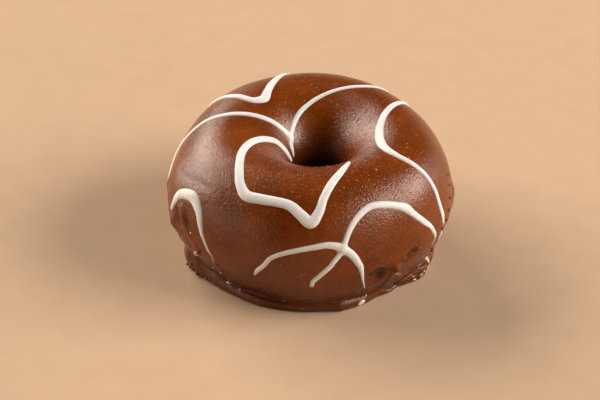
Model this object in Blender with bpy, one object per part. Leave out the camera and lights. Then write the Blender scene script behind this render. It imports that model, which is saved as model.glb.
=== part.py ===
"""A mini doughnut, 60 mm across: a coated ring of cake with lines of icing fused to its top and side.

Lengths are in metres and +Z is up. A place on the coat is given by two angles in degrees.
"Around" turns about the ring's axis, from +X on the right towards +Y at the back.
"Across" runs over the section: 0 on the widest line, 90 on the crown, 180 on the hole's wall,
below 0 under the widest line and above 180 under the throat.
"""

import bmesh
import bpy
import numpy as np

MM = 0.001

# The ring's section, whose rounded quarters are superellipses.
OUTER_RADIUS = 30.0 * MM
CROWN_RADIUS = 18.1 * MM
THROAT_RADIUS = 5.0 * MM
HEIGHT = 28.0 * MM
WIDEST_HEIGHT = 13.7 * MM
ROUNDNESS = 2.0
INNER_FLAT_RADIUS = 9.5 * MM

# The lower wall draws in towards the floor, and the coat has run down into a foot there.
TUCK_RADIUS = 23.8 * MM
TUCK_ROUNDNESS = 1.8
FOOT_REACH = 27.05 * MM
FOOT_BULGE = 1.15 * MM
FOOT_HEIGHT = 2.2 * MM
FOOT_WIDEST_SHARE = 0.46
FOOT_SLOPE = 6.0
CREASE_SOFTNESS = 0.35 * MM

# The lower wall is fuller at the front: angle around, half width in degrees, extra radius at the floor.
TUCK_FILL = (275.0, 38.0, 1.6 * MM)

# The hole sits off the middle, and the crown is a little higher on one side.
HOLE_OFFSET = (1.8 * MM, -0.6 * MM)
CROWN_TILT = (0.0, 0.6 * MM)

# How far the outline departs from a circle: waves a turn, amount, and the angle of one crest.
OUTLINE_SWELLS = (
    (2, 0.34 * MM, 109.0),
    (3, 0.65 * MM, 93.0),
    (4, 0.11 * MM, 85.0),
    (5, 0.30 * MM, 60.0),
    (6, 0.18 * MM, 25.0),
)

# Lobes of the foot: angle around, half width in degrees, extra reach and extra height.
FOOT_LOBES = (
    (203.0, 9.0, 1.05 * MM, 2.4 * MM),
    (214.0, 12.0, 0.15 * MM, 2.8 * MM),
    (232.0, 9.0, -0.20 * MM, 0.0),
    (283.5, 4.5, 0.55 * MM, 0.2 * MM),
    (303.0, 7.0, -1.00 * MM, 0.0),
    (315.0, 6.0, -0.95 * MM, -0.2 * MM),
    (328.0, 7.0, 0.90 * MM, 0.9 * MM),
    (341.0, 6.0, 0.45 * MM, 0.2 * MM),
    (20.0, 9.0, 0.40 * MM, 0.4 * MM),
    (62.0, 11.0, -0.40 * MM, 0.0),
    (96.0, 8.0, 0.50 * MM, 0.6 * MM),
    (141.0, 9.0, 0.35 * MM, 0.2 * MM),
    (169.0, 6.0, -0.45 * MM, 0.0),
)

# Bumps and hollows of the coat: around, across, height, half length, half width, turn of the length.
COAT_LUMPS = (
    (204.0, -9.0, 0.35 * MM, 3.5 * MM, 2.6 * MM, 0.0),
    (208.5, 5.0, -0.36 * MM, 2.6 * MM, 1.2 * MM, -58.0),
    (212.2, 8.0, 0.26 * MM, 3.0 * MM, 0.8 * MM, -56.0),
    (216.0, 9.0, -0.16 * MM, 2.6 * MM, 1.0 * MM, -56.0),
    (213.0, -50.0, -0.80 * MM, 6.0 * MM, 1.2 * MM, -36.0),
    (314.5, -15.0, -0.75 * MM, 1.3 * MM, 0.9 * MM, 70.0),
    (307.0, -30.0, 0.70 * MM, 1.4 * MM, 0.9 * MM, 75.0),
    (298.7, -30.0, -1.05 * MM, 1.8 * MM, 1.4 * MM, 40.0),
    (311.0, -62.0, 0.45 * MM, 2.2 * MM, 1.1 * MM, 0.0),
    (272.5, -33.0, 0.50 * MM, 1.1 * MM, 0.8 * MM, -50.0),
    (350.0, 5.0, 0.35 * MM, 1.8 * MM, 2.0 * MM, 0.0),
    (340.0, -29.0, -0.35 * MM, 2.4 * MM, 1.7 * MM, 0.0),
    (188.0, 10.5, 0.30 * MM, 1.2 * MM, 1.5 * MM, 0.0),
    (75.0, -25.0, 0.50 * MM, 3.5 * MM, 2.0 * MM, 10.0),
    (110.0, -38.0, -0.50 * MM, 3.2 * MM, 1.3 * MM, -10.0),
    (140.0, -15.0, 0.35 * MM, 3.0 * MM, 3.0 * MM, 0.0),
)
AROUND_LENGTH = 0.51 * MM  # length of a degree around, on the side wall
ACROSS_LENGTH = 0.235 * MM  # length of a degree across

# The ring's mesh: columns round the ring, and the rows' angles across its section.
COLUMNS = 104
FOOT_ROWS = (-90.0, -87.0, -83.0, -79.0, -75.5, -71.5, -65.0, -57.0, -47.0, -36.0, -24.0, -12.0)
UPPER_ROWS = tuple(11.25 * step for step in range(17))
THROAT_ROWS = (200.0, 220.0, 240.0, 256.0, 270.0)
FLAT_SHARES = (0.33, 0.67)  # rows of the underside between its inner and outer edge

# A line of icing is a bead, as high as this share of its width.
BEAD_HEIGHT_SHARE = 0.23
BEAD_STEP = 1.9 * MM

# The icing lines, each a list of places on the coat: around, across, and the bead's width in mm.
BACK_LEFT_BEND = (
    (138, -8, 0.7), (140, 14, 0.9), (142.5, 36, 1.1), (144.5, 52, 1.25), (144, 66, 1.4), (143.5, 82, 1.7),
    (141.5, 98, 1.9), (134, 102, 2.2), (126.5, 96.5, 1.8), (116.5, 85, 1.7), (106.5, 68, 1.5), (100, 50, 1.4),
    (92, 28, 1.3), (80, 17, 1.2), (68, 20, 1.1), (60, 31, 1.0), (54, 42, 0.9),
)  # fmt: skip
LEFT_ARC = (
    (182, -9, 0.6), (184.5, 1, 0.8), (185.5, 9, 0.9), (184, 15, 1.0), (180, 22, 1.1), (175.5, 33, 1.2),
    (174, 46.5, 1.3), (170.5, 64, 1.3), (165.5, 88, 1.3), (158.5, 106.5, 1.3), (147.5, 127, 1.3),
    (141.5, 139, 1.3), (139, 146, 1.4),
)  # fmt: skip
BACK_ARC = (
    (163, 171, 0.6), (156, 164, 1.0), (148.5, 155, 1.3), (141, 147, 1.4), (128.5, 138.5, 1.2),
    (111, 128, 1.1), (94, 118.5, 1.0), (78.5, 108, 1.0), (65, 96, 1.1), (56, 84, 1.2), (50.5, 68, 1.2),
    (49, 48, 1.1), (46, 30, 0.8), (45, 16, 0.6),
)  # fmt: skip
HEART_LOOP = (
    (166, 168, 0.8), (164, 159, 1.2), (164.5, 149.5, 1.45), (169.5, 139, 1.6), (181, 128, 1.65),
    (195, 114.5, 1.7), (208.5, 100.5, 1.7), (219.5, 86.5, 1.75), (227.5, 73, 1.85), (233.5, 61, 2.0),
    (238.5, 54, 2.25), (246, 54.5, 2.15), (254, 55.5, 2.0), (260.5, 54, 2.05), (266, 46.5, 2.2),
    (270.3, 40, 2.35), (273.5, 48.5, 1.9), (276, 62.5, 1.65), (280.5, 77.5, 1.7), (287, 91, 1.6),
    (293, 100.5, 1.45), (300, 110, 0.9),
)  # fmt: skip
RIGHT_BEND = (
    (37, 10, 0.7), (36, 35, 1.0), (32, 58, 1.2), (28.5, 75, 1.3), (25, 87.5, 1.4), (14, 104.5, 1.6),
    (2, 111, 1.9), (-11, 111.5, 1.95), (-21, 107, 1.85), (-29, 97, 1.7), (-32, 82.5, 1.45),
    (-31, 69, 1.35), (-29, 51, 1.1), (-28.5, 34.5, 1.1), (-28.5, 19.5, 1.15), (-27, 3.5, 1.1),
    (-26.5, -7, 0.5),
)  # fmt: skip
RIGHT_DAB = ((333.5, -17, 0.5), (333.7, -22, 0.9), (334.5, -30, 0.9), (335, -37, 0.5))
RIGHT_FRONT_ARC = (
    (283, 15, 1.3), (284, 21.5, 1.25), (286.5, 32, 1.25), (291, 41.5, 1.35), (297, 46.5, 1.4),
    (304, 44, 1.5), (309.5, 39, 1.6), (312.7, 34.5, 1.9), (315.5, 27, 1.5), (320.5, 14.5, 1.3),
    (324, 6, 1.05), (326.5, -4.5, 0.95), (328, -17.5, 0.6), (327, -28, 0.4),
)  # fmt: skip
FRONT_ARM = (
    (248, -26, 0.5), (249.2, -18.5, 0.9), (252, -6.5, 1.0), (254.5, 4, 1.0), (259.5, 11.5, 1.05),
    (265.5, 16, 1.15), (272, 19, 1.25), (277, 20.3, 1.4), (280, 19, 1.6), (283, 15.5, 1.8),
    (285.8, 10.5, 1.7), (288.2, 3.5, 1.55), (290, -6.5, 1.3), (291, -20.5, 0.9), (292, -37.5, 0.6),
    (293.5, -54.5, 0.4),
)  # fmt: skip
FRONT_BRANCH = (
    (283, 14, 1.3), (280.5, 7.5, 1.2), (278.5, 2, 1.15), (276, -6.5, 1.2), (273.5, -16, 1.15),
    (271.7, -23, 1.1), (270.8, -31, 0.8),
)  # fmt: skip
LEFT_HOOK = (
    (203.3, 8, 1.2), (203.7, 11.5, 1.2), (204.6, 17, 1.6), (206.5, 24.5, 2.0), (210.5, 30.2, 2.2),
    (216, 32, 2.5), (219, 28, 2.2), (221.5, 22, 1.8), (223, 14, 1.45), (224.5, 6, 1.05),
    (226, -1, 0.8), (227, -11, 0.75), (228.3, -21, 0.5), (228, -34.5, 0.35),
)  # fmt: skip
ICING_LINES = {
    "back left bend": BACK_LEFT_BEND,
    "left arc": LEFT_ARC,
    "back arc": BACK_ARC,
    "heart loop": HEART_LOOP,
    "right bend": RIGHT_BEND,
    "right dab": RIGHT_DAB,
    "right front arc": RIGHT_FRONT_ARC,
    "front arm": FRONT_ARM,
    "front branch": FRONT_BRANCH,
    "left hook": LEFT_HOOK,
}

CHOCOLATE_COLOUR = (0.110, 0.036, 0.014, 1.0)
ICING_COLOUR = (0.80, 0.74, 0.64, 1.0)


def clear_scene():
    for old in list(bpy.data.objects):
        bpy.data.objects.remove(old, do_unlink=True)


def make_material(name, colour, roughness):
    material = bpy.data.materials.new(name)
    material.use_nodes = True
    shader = material.node_tree.nodes["Principled BSDF"]
    shader.inputs["Base Color"].default_value = colour
    shader.inputs["Roughness"].default_value = roughness
    shader.inputs["Metallic"].default_value = 0.0
    return material


def degrees_between(angle, centre):
    """The signed angle from centre to angle, within half a turn either way."""
    return (angle - centre + 180.0) % 360.0 - 180.0


def hole_distance(radius):
    """A share that is 0 at the throat and 1 at the widest line."""
    return np.clip((radius - THROAT_RADIUS) / (OUTER_RADIUS - THROAT_RADIUS), 0.0, 1.0)


def swollen(around, radius):
    """The radius with the outline's swells, which fade towards the hole."""
    swell = sum(size * np.cos(np.radians(waves * (around - crest))) for waves, size, crest in OUTLINE_SWELLS)
    return radius + swell * hole_distance(radius)


def foot_radius(around, height):
    """The foot's own radius: a bead up to its top, and a steep slope inwards above it."""
    reach = np.full_like(around, FOOT_REACH)
    top = np.full_like(around, FOOT_HEIGHT)
    for centre, half_width, extra_reach, extra_height in FOOT_LOBES:
        near = np.exp(-((degrees_between(around, centre) / half_width) ** 2))
        reach = reach + extra_reach * near
        top = top + extra_height * near
    middle = FOOT_WIDEST_SHARE * top
    half_height = top - middle
    climb = np.abs(height - middle) / half_height
    bead = FOOT_BULGE * np.sqrt(np.clip(1.0 - climb**2, 0.0, None))
    inwards = FOOT_SLOPE * half_height * np.clip(climb - 1.0, 0.0, None)
    return reach - FOOT_BULGE + bead - inwards


def lower_wall_radius(around, height):
    """The wall under the widest line, which meets the foot in a soft crease."""
    drop = 1.0 - height / WIDEST_HEIGHT
    centre, half_width, extra = TUCK_FILL
    tuck = TUCK_RADIUS + extra * np.exp(-((degrees_between(around, centre) / half_width) ** 2))
    wall = swollen(around, OUTER_RADIUS - (OUTER_RADIUS - tuck) * drop**TUCK_ROUNDNESS)
    foot = foot_radius(around, height)
    return 0.5 * (wall + foot + np.sqrt((wall - foot) ** 2 + CREASE_SOFTNESS**2))


def section_point(around, across):
    """The smooth coat's radius and height at a place, before its lumps."""
    cosine = np.abs(np.cos(np.radians(across))) ** (2.0 / ROUNDNESS)
    sine = np.abs(np.sin(np.radians(across))) ** (2.0 / ROUNDNESS)
    outer = swollen(around, CROWN_RADIUS + (OUTER_RADIUS - CROWN_RADIUS) * cosine)
    inner = swollen(around, CROWN_RADIUS - (CROWN_RADIUS - THROAT_RADIUS) * cosine)
    throat = INNER_FLAT_RADIUS - (INNER_FLAT_RADIUS - THROAT_RADIUS) * cosine
    upper_height = WIDEST_HEIGHT + (HEIGHT - WIDEST_HEIGHT) * sine
    throat_height = WIDEST_HEIGHT * (1.0 - sine)
    low_height = WIDEST_HEIGHT * (1.0 + np.minimum(across, 0.0) / 90.0)
    radius = np.select(
        [across < 0.0, across <= 90.0, across <= 180.0],
        [lower_wall_radius(around, low_height), outer, inner],
        throat,
    )
    height = np.select([across < 0.0, across <= 180.0], [low_height, upper_height], throat_height)
    return radius, height


def place(around, radius, height):
    """A point in space: the hole is shifted sideways, more so nearer the hole, and the crown tilts."""
    inwards = 1.0 - hole_distance(radius)
    turn = np.radians(around)
    tilt = (CROWN_TILT[0] * np.cos(turn) + CROWN_TILT[1] * np.sin(turn)) / HEIGHT
    return np.stack(
        [
            radius * np.cos(turn) + HOLE_OFFSET[0] * inwards,
            radius * np.sin(turn) + HOLE_OFFSET[1] * inwards,
            height * (1.0 + tilt),
        ],
        axis=-1,
    )


def smooth_coat(around, across):
    radius, height = section_point(around, across)
    return place(around, radius, height)


def coat_normal(around, across):
    """The outward direction, from the tangents a small angle either side of the place."""
    small = 0.5
    along = smooth_coat(around + small, across) - smooth_coat(around - small, across)
    up = smooth_coat(around, across + small) - smooth_coat(around, across - small)
    normal = np.cross(along, up)
    return normal / np.linalg.norm(normal, axis=-1, keepdims=True)


def lump_height(around, across):
    """The sum of the named bumps and hollows, each a turned bell shape."""
    total = np.zeros_like(around)
    for centre_around, centre_across, height, half_length, half_width, turn in COAT_LUMPS:
        sideways = degrees_between(around, centre_around) * AROUND_LENGTH
        upwards = (across - centre_across) * ACROSS_LENGTH
        cosine, sine = np.cos(np.radians(turn)), np.sin(np.radians(turn))
        lengthwise = (sideways * cosine + upwards * sine) / half_length
        widthwise = (upwards * cosine - sideways * sine) / half_width
        total = total + height * np.exp(-(lengthwise**2) - widthwise**2)
    return total


def coat_point(around, across):
    """The coat with its lumps. They fade out at the floor, so that the underside stays flat."""
    point = smooth_coat(around, across)
    above_floor = np.clip(point[..., 2] / FOOT_HEIGHT, 0.0, 1.0)
    lift = lump_height(around, across) * above_floor
    return point + lift[..., None] * coat_normal(around, across)


def underside_point(around, share):
    """A point of the flat underside, from its inner edge at 0 to the foot's edge at 1."""
    outer, _ = section_point(around, np.full_like(around, FOOT_ROWS[0]))
    radius = INNER_FLAT_RADIUS + share * (outer - INNER_FLAT_RADIUS)
    return place(around, radius, np.zeros_like(around))


def make_ring(material):
    """A torus primitive whose rows and columns are moved out to the coat."""
    rows = UPPER_ROWS + THROAT_ROWS
    row_count = len(rows) + len(FLAT_SHARES) + len(FOOT_ROWS)
    bpy.ops.mesh.primitive_torus_add(
        major_segments=COLUMNS,
        minor_segments=row_count,
        major_radius=0.5 * (OUTER_RADIUS + THROAT_RADIUS),
        minor_radius=0.5 * (OUTER_RADIUS - THROAT_RADIUS),
    )
    ring = bpy.context.object
    ring.name = "doughnut"
    ring.data.name = "doughnut"
    around = 360.0 * np.arange(COLUMNS) / COLUMNS
    bands = [coat_point(around, np.full(COLUMNS, angle)) for angle in rows]
    bands += [underside_point(around, share) for share in FLAT_SHARES]
    bands += [coat_point(around, np.full(COLUMNS, angle)) for angle in FOOT_ROWS]
    points = np.stack(bands, axis=1)
    ring.data.vertices.foreach_set("co", points.reshape(-1))
    ring.data.materials.append(material)
    ring.data.update()
    return ring


def smooth_values(knots, values, at):
    """Cubic curve through values at knots, with slopes from the neighbours on both sides."""
    slopes = np.gradient(values, knots, axis=0)
    index = np.clip(np.searchsorted(knots, at, side="right") - 1, 0, len(knots) - 2)
    gap = knots[index + 1] - knots[index]
    share = ((at - knots[index]) / gap)[:, None]
    gap = gap[:, None]
    start = (1.0 + 2.0 * share) * (1.0 - share) ** 2
    end = share**2 * (3.0 - 2.0 * share)
    start_slope = share * (1.0 - share) ** 2 * gap
    end_slope = share**2 * (share - 1.0) * gap
    return (
        start * values[index]
        + end * values[index + 1]
        + start_slope * slopes[index]
        + end_slope * slopes[index + 1]
    )


def line_samples(places):
    """Around, across and width at even steps along an icing line."""
    places = np.array(places, dtype=float)
    points = coat_point(places[:, 0], places[:, 1])
    lengths = np.linalg.norm(np.diff(points, axis=0), axis=1)
    knots = np.concatenate([[0.0], np.cumsum(lengths)])
    count = int(np.ceil(knots[-1] / BEAD_STEP)) + 1
    return smooth_values(knots, places, np.linspace(0.0, knots[-1], count))


def make_icing_line(name, places, collection, material):
    """A round tube sunk into the coat, so that a flat bead of the stated width stands out of it."""
    around, across, width = line_samples(places).T
    width = width * MM
    height = BEAD_HEIGHT_SHARE * width
    tube_radius = (0.25 * width**2 + height**2) / (2.0 * height)
    normal = coat_normal(around, across)
    centres = coat_point(around, across) + (height - tube_radius)[:, None] * normal
    curve = bpy.data.curves.new(name, "CURVE")
    curve.dimensions = "3D"
    curve.bevel_depth = 1.0 * MM
    curve.bevel_resolution = 1
    curve.use_fill_caps = True
    spline = curve.splines.new("POLY")
    spline.points.add(len(centres) - 1)
    spline.points.foreach_set("co", np.column_stack([centres, np.ones(len(centres))]).reshape(-1))
    spline.points.foreach_set("radius", tube_radius / curve.bevel_depth)
    guide = bpy.data.objects.new(name + " guide", curve)
    bpy.context.scene.collection.objects.link(guide)
    bpy.context.view_layer.update()
    graph = bpy.context.evaluated_depsgraph_get()
    mesh = bpy.data.meshes.new_from_object(guide.evaluated_get(graph))
    bead = bpy.data.objects.new(name, mesh)
    bead.matrix_world = guide.matrix_world
    bpy.data.objects.remove(guide, do_unlink=True)
    collection.objects.link(bead)
    weld(mesh)
    mesh.materials.clear()
    mesh.materials.append(material)
    return bead


def weld(mesh):
    """Joins the caps to the tube and turns every face outwards."""
    cage = bmesh.new()
    cage.from_mesh(mesh)
    bmesh.ops.remove_doubles(cage, verts=cage.verts, dist=0.001 * MM)
    bmesh.ops.recalc_face_normals(cage, faces=cage.faces)
    cage.to_mesh(mesh)
    cage.free()


def fuse(body, collection):
    """One Boolean union of the body with a collection, whose objects are then removed."""
    union = body.modifiers.new("icing union", "BOOLEAN")
    union.operation = "UNION"
    union.operand_type = "COLLECTION"
    union.collection = collection
    union.solver = "EXACT"
    union.material_mode = "TRANSFER"
    bpy.context.view_layer.objects.active = body
    bpy.ops.object.modifier_apply(modifier=union.name)
    for piece in list(collection.objects):
        bpy.data.objects.remove(piece, do_unlink=True)
    bpy.data.collections.remove(collection)


def stand_on_origin(body):
    """Moves the mesh so that its box is centred over the origin and rests on the floor."""
    count = len(body.data.vertices)
    points = np.empty(count * 3)
    body.data.vertices.foreach_get("co", points)
    points = points.reshape(-1, 3)
    low, high = points.min(axis=0), points.max(axis=0)
    middle = 0.5 * (low + high)
    points -= (middle[0], middle[1], low[2])
    body.data.vertices.foreach_set("co", points.reshape(-1))
    body.data.update()


def build():
    clear_scene()
    parts = bpy.data.collections.new("mini_doughnut")
    beads = bpy.data.collections.new("icing_lines")
    bpy.context.scene.collection.children.link(parts)
    bpy.context.scene.collection.children.link(beads)
    chocolate = make_material("chocolate", CHOCOLATE_COLOUR, 0.32)
    icing = make_material("icing", ICING_COLOUR, 0.4)
    ring = make_ring(chocolate)
    for collection in list(ring.users_collection):
        collection.objects.unlink(ring)
    parts.objects.link(ring)
    for name, places in ICING_LINES.items():
        make_icing_line(name, places, beads, icing)
    fuse(ring, beads)
    stand_on_origin(ring)


build()
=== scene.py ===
"""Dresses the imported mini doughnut: its chocolate coat, lines of icing, crumbs, floor, light and camera.

Lengths are in metres and +Z is up. A place on the coat is given by two angles in degrees.
"Around" turns about the ring's axis, from +X on the right towards +Y at the back.
"Across" runs over the section: -90 at the foot's edge, 0 on the widest line, 90 on the crown,
180 on the hole's wall and 270 at the inner edge of the flat underside.
"""

import itertools
import logging
from collections.abc import Sequence
from dataclasses import dataclass
from enum import Enum

import bpy
import numpy as np
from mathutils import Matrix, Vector


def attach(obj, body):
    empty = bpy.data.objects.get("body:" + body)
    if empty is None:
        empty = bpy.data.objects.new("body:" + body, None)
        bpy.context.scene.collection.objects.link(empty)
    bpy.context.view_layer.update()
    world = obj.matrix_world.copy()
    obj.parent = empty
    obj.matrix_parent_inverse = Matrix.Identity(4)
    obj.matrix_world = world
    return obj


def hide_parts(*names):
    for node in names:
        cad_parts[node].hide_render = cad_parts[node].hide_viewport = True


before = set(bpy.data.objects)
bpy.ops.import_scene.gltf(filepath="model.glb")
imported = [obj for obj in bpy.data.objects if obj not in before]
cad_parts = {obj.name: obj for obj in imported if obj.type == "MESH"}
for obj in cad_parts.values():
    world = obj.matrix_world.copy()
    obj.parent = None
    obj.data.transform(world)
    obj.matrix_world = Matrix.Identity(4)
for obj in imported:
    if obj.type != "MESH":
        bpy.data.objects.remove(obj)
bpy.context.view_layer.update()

MM = 0.001
BODY = "root"
NODE = "doughnut"

Array = np.ndarray
Pair = tuple[float, float]
Triple = tuple[float, float, float]
Colour = tuple[float, float, float]
Places = tuple[tuple[float, ...], ...]

log = logging.getLogger("mini_doughnut")


def degrees_between(angle: Array | float, centre: Array | float) -> Array | float:
    """The signed angle from centre to angle, within half a turn either way."""
    return (angle - centre + 180.0) % 360.0 - 180.0


def hump(offset: Array, sideways: Array | float = 0.0) -> Array:
    """A round hump exp(-a^2 - b^2) over one or two offsets: 1 in the middle, and nearly 0 past 2."""
    return np.exp(-(offset**2) - sideways**2)


def hump_around(around: Array, centre: float, half_width: float) -> Array:
    """A hump over the angle from a centre, whose offset is that angle over the half width."""
    return hump(degrees_between(around, centre) / half_width)


def ease(value: Array, low: float, high: float) -> Array:
    """A share that climbs from 0 at low to 1 at high along the curve 3 t^2 - 2 t^3.

    Args:
        value: The values to read.
        low: Where the share is 0.
        high: Where the share is 1.

    Returns:
        The share at each value.
    """
    share = np.clip((value - low) / (high - low), 0.0, 1.0)
    return share * share * (3.0 - 2.0 * share)


def unit(vectors: Array) -> Array:
    """Vectors of length one, along the last axis."""
    return vectors / np.linalg.norm(vectors, axis=-1, keepdims=True)


def running_length(points: Array) -> Array:
    """The distance along a line of points, from the first one to each."""
    return np.concatenate([[0.0], np.cumsum(np.linalg.norm(np.diff(points, axis=0), axis=1))])


@dataclass(frozen=True)
class Unevenness:
    """Seeded heights from -1 to 1 that change smoothly in space.

    A cubic lattice holds one random height a corner. Between the corners the height is the mean of
    the eight nearest ones, each weighted by the product of its three eased shares.
    """

    cell: float
    seed: int
    corners: int = 24

    def at(self, points: Array) -> Array:
        """Reads the heights.

        Args:
            points: Positions in metres, xyz along the last axis.

        Returns:
            One height for each point.
        """
        lattice = np.random.default_rng(self.seed).uniform(-1.0, 1.0, (self.corners,) * 3)
        place = points / self.cell
        base = np.floor(place).astype(int)
        share = ease(place - base, 0.0, 1.0)
        total = np.zeros(points.shape[:-1])
        for corner in itertools.product((0, 1), repeat=3):
            weight = np.prod(np.where(corner, share, 1.0 - share), axis=-1)
            index = (base + corner) % self.corners
            total = total + weight * lattice[index[..., 0], index[..., 1], index[..., 2]]
        return total


Layers = tuple[tuple[float, Unevenness], ...]


def layered(layers: Layers, points: Array) -> Array:
    """The sum of layers of unevenness at the points, each times its depth."""
    return sum(depth * layer.at(points) for depth, layer in layers)


def smooth_values(knots: Array, values: Array, at: Array) -> Array:
    """A cubic curve through values at knots, with slopes taken from the neighbours on both sides.

    Between two knots it is the Hermite sum of both values and both slopes.

    Args:
        knots: Rising positions, one for each row of values.
        values: The rows that the curve passes through.
        at: The positions to read.

    Returns:
        One row for each position.
    """
    slopes = np.gradient(values, knots, axis=0)
    index = np.clip(np.searchsorted(knots, at, side="right") - 1, 0, len(knots) - 2)
    gap = (knots[index + 1] - knots[index])[:, None]
    share = (at - knots[index])[:, None] / gap
    start = (1.0 + 2.0 * share) * (1.0 - share) ** 2
    end = share**2 * (3.0 - 2.0 * share)
    start_slope = share * (1.0 - share) ** 2 * gap
    end_slope = share**2 * (share - 1.0) * gap
    return (
        start * values[index]
        + end * values[index + 1]
        + start_slope * slopes[index]
        + end_slope * slopes[index + 1]
    )


def ring_numbers(rings: int, segments: int) -> tuple[Array, Array]:
    """Numbers the points of closed rings, and makes the quads between the rings.

    Args:
        rings: How many rings there are.
        segments: How many points each has, anticlockwise seen from above.

    Returns:
        The points' numbers, one row a ring, and the quads, which face outwards where the rings rise.
    """
    number = np.arange(rings * segments).reshape(rings, segments)
    after = np.roll(number, -1, axis=1)
    quads = np.stack([number[:-1], after[:-1], after[1:], number[1:]], axis=-1)
    return number, quads.reshape(-1, 4)


def fan(ring: Array, point: int) -> Array:
    """Triangles from each step of a closed ring to one point."""
    return np.stack([ring, np.roll(ring, -1), np.full(ring.size, point)], axis=-1)


def make_piece(
    name: str,
    points: Array,
    faces: Sequence[Array],
    material: bpy.types.Material,
    smooth: bool = True,
) -> bpy.types.Object:
    """A mesh object at the origin.

    Args:
        name: The object's and its mesh's name.
        points: Vertex positions, one row each.
        faces: Arrays of vertex numbers, one row a face, turned anticlockwise seen from outside.
        material: The finish of every face.
        smooth: Whether the shading runs smoothly over the edges.

    Returns:
        The new object, linked to the scene.
    """
    mesh = bpy.data.meshes.new(name)
    corners = [corner for block in faces for corner in block.tolist()]
    mesh.from_pydata(points.tolist(), [], corners)
    mesh.polygons.foreach_set("use_smooth", np.full(len(corners), smooth))
    mesh.materials.append(material)
    mesh.update()
    piece = bpy.data.objects.new(name, mesh)
    bpy.context.scene.collection.objects.link(piece)
    return piece


def paint(piece: bpy.types.Object, name: str, values: Array) -> None:
    """Stores one value a vertex on a piece, for its material to read by that name."""
    attribute = piece.data.attributes.new(name, "FLOAT", "POINT")
    attribute.data.foreach_set("value", values.astype(np.float32).reshape(-1))


def report(piece: bpy.types.Object) -> None:
    """Logs one finished piece with its count of triangles."""
    piece.data.calc_loop_triangles()
    log.info("%s: %d triangles", piece.name, len(piece.data.loop_triangles))


class Sheet:
    """The nodes of one material, group or world, with short ways to add and join them."""

    def __init__(self, tree: bpy.types.NodeTree) -> None:
        """Starts on a tree, whose old nodes go."""
        self.tree = tree
        self.tree.nodes.clear()

    def feed(self, socket: bpy.types.NodeSocket, value: object) -> None:
        """Feeds a socket.

        Args:
            socket: The input to feed.
            value: Another node's output to join, or a number or a colour to set.
        """
        if isinstance(value, bpy.types.NodeSocket):
            self.tree.links.new(value, socket)
        elif socket.type == "RGBA":
            socket.default_value = (*value, 1.0)
        else:
            socket.default_value = value

    def add(self, kind: str, **inputs: object) -> bpy.types.Node:
        """Adds a node.

        Args:
            kind: Blender's name of the node's type.
            **inputs: Settings of the node by name, or sockets by name with _ for a blank. A socket
                takes a value, or another node's output to join.

        Returns:
            The new node.
        """
        node = self.tree.nodes.new(kind)
        for name, value in inputs.items():
            if name in node.bl_rna.properties and not node.bl_rna.properties[name].is_readonly:
                setattr(node, name, value)
        for name, value in inputs.items():
            socket = node.inputs.get(name.replace("_", " "))
            if socket is not None:
                self.feed(socket, value)
        return node

    def math(self, operation: str, *values: object, clamp: bool = False) -> bpy.types.NodeSocket:
        """A Math node's result.

        Args:
            operation: Blender's name of the sum.
            *values: Numbers, or outputs of other nodes.
            clamp: Whether the result is kept from 0 to 1.

        Returns:
            The node's output.
        """
        node = self.add("ShaderNodeMath", operation=operation, use_clamp=clamp)
        for socket, value in zip(node.inputs, values, strict=False):
            self.feed(socket, value)
        return node.outputs[0]

    def weighted(self, *terms: tuple[bpy.types.NodeSocket, float]) -> bpy.types.NodeSocket:
        """The sum of outputs, each times its weight.

        Args:
            *terms: An output and its weight, for each term.

        Returns:
            The last node's output.
        """
        products = [self.math("MULTIPLY", value, weight) for value, weight in terms]
        total = products[0]
        for product in products[1:]:
            total = self.math("ADD", total, product)
        return total

    def span(
        self, value: bpy.types.NodeSocket, given: Pair, wanted: Pair = (0.0, 1.0)
    ) -> bpy.types.NodeSocket:
        """Maps a value evenly from one span to another, and keeps it inside.

        Args:
            value: The output to map.
            given: The value's own low and high.
            wanted: The low and high that they become.

        Returns:
            The mapped value.
        """
        node = self.add("ShaderNodeMapRange", Value=value)
        for name, limit in zip(("From Min", "From Max", "To Min", "To Max"), (*given, *wanted), strict=True):
            node.inputs[name].default_value = limit
        return node.outputs["Result"]

    def blend(self, share: object, low: object, high: object) -> bpy.types.NodeSocket:
        """Mixes two colours.

        Args:
            share: 0 for the low colour and 1 for the high one, or an output that says so.
            low: A colour, or an output.
            high: A colour, or an output.

        Returns:
            The mixed colour's output.
        """
        node = self.add("ShaderNodeMix", data_type="RGBA")
        colours = [socket for socket in node.inputs if socket.type == "RGBA"]
        for socket, value in ((node.inputs[0], share), (colours[0], low), (colours[1], high)):
            self.feed(socket, value)
        return next(socket for socket in node.outputs if socket.type == "RGBA")

    def bump(
        self,
        height: bpy.types.NodeSocket,
        depth: float,
        under: bpy.types.NodeSocket | None = None,
    ) -> bpy.types.NodeSocket:
        """Relief too fine for the mesh.

        Args:
            height: The height as a share of the depth, below zero for a pit.
            depth: What a share of 1 stands for, in metres.
            under: The normals of the relief below it, if it has any.

        Returns:
            The normals with the relief.
        """
        below = {} if under is None else {"Normal": under}
        return self.add("ShaderNodeBump", Height=height, Distance=depth, **below).outputs[0]

    def painted(self, name: str) -> bpy.types.NodeSocket:
        """The value that the mesh holds by a name."""
        return self.add("ShaderNodeAttribute", attribute_name=name).outputs["Fac"]

    def surface(self, **inputs: object) -> None:
        """Adds the shader with its inputs, and joins it to the material's surface."""
        shader = self.add("ShaderNodeBsdfPrincipled", **inputs)
        self.add("ShaderNodeOutputMaterial", Surface=shader.outputs[0])


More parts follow.
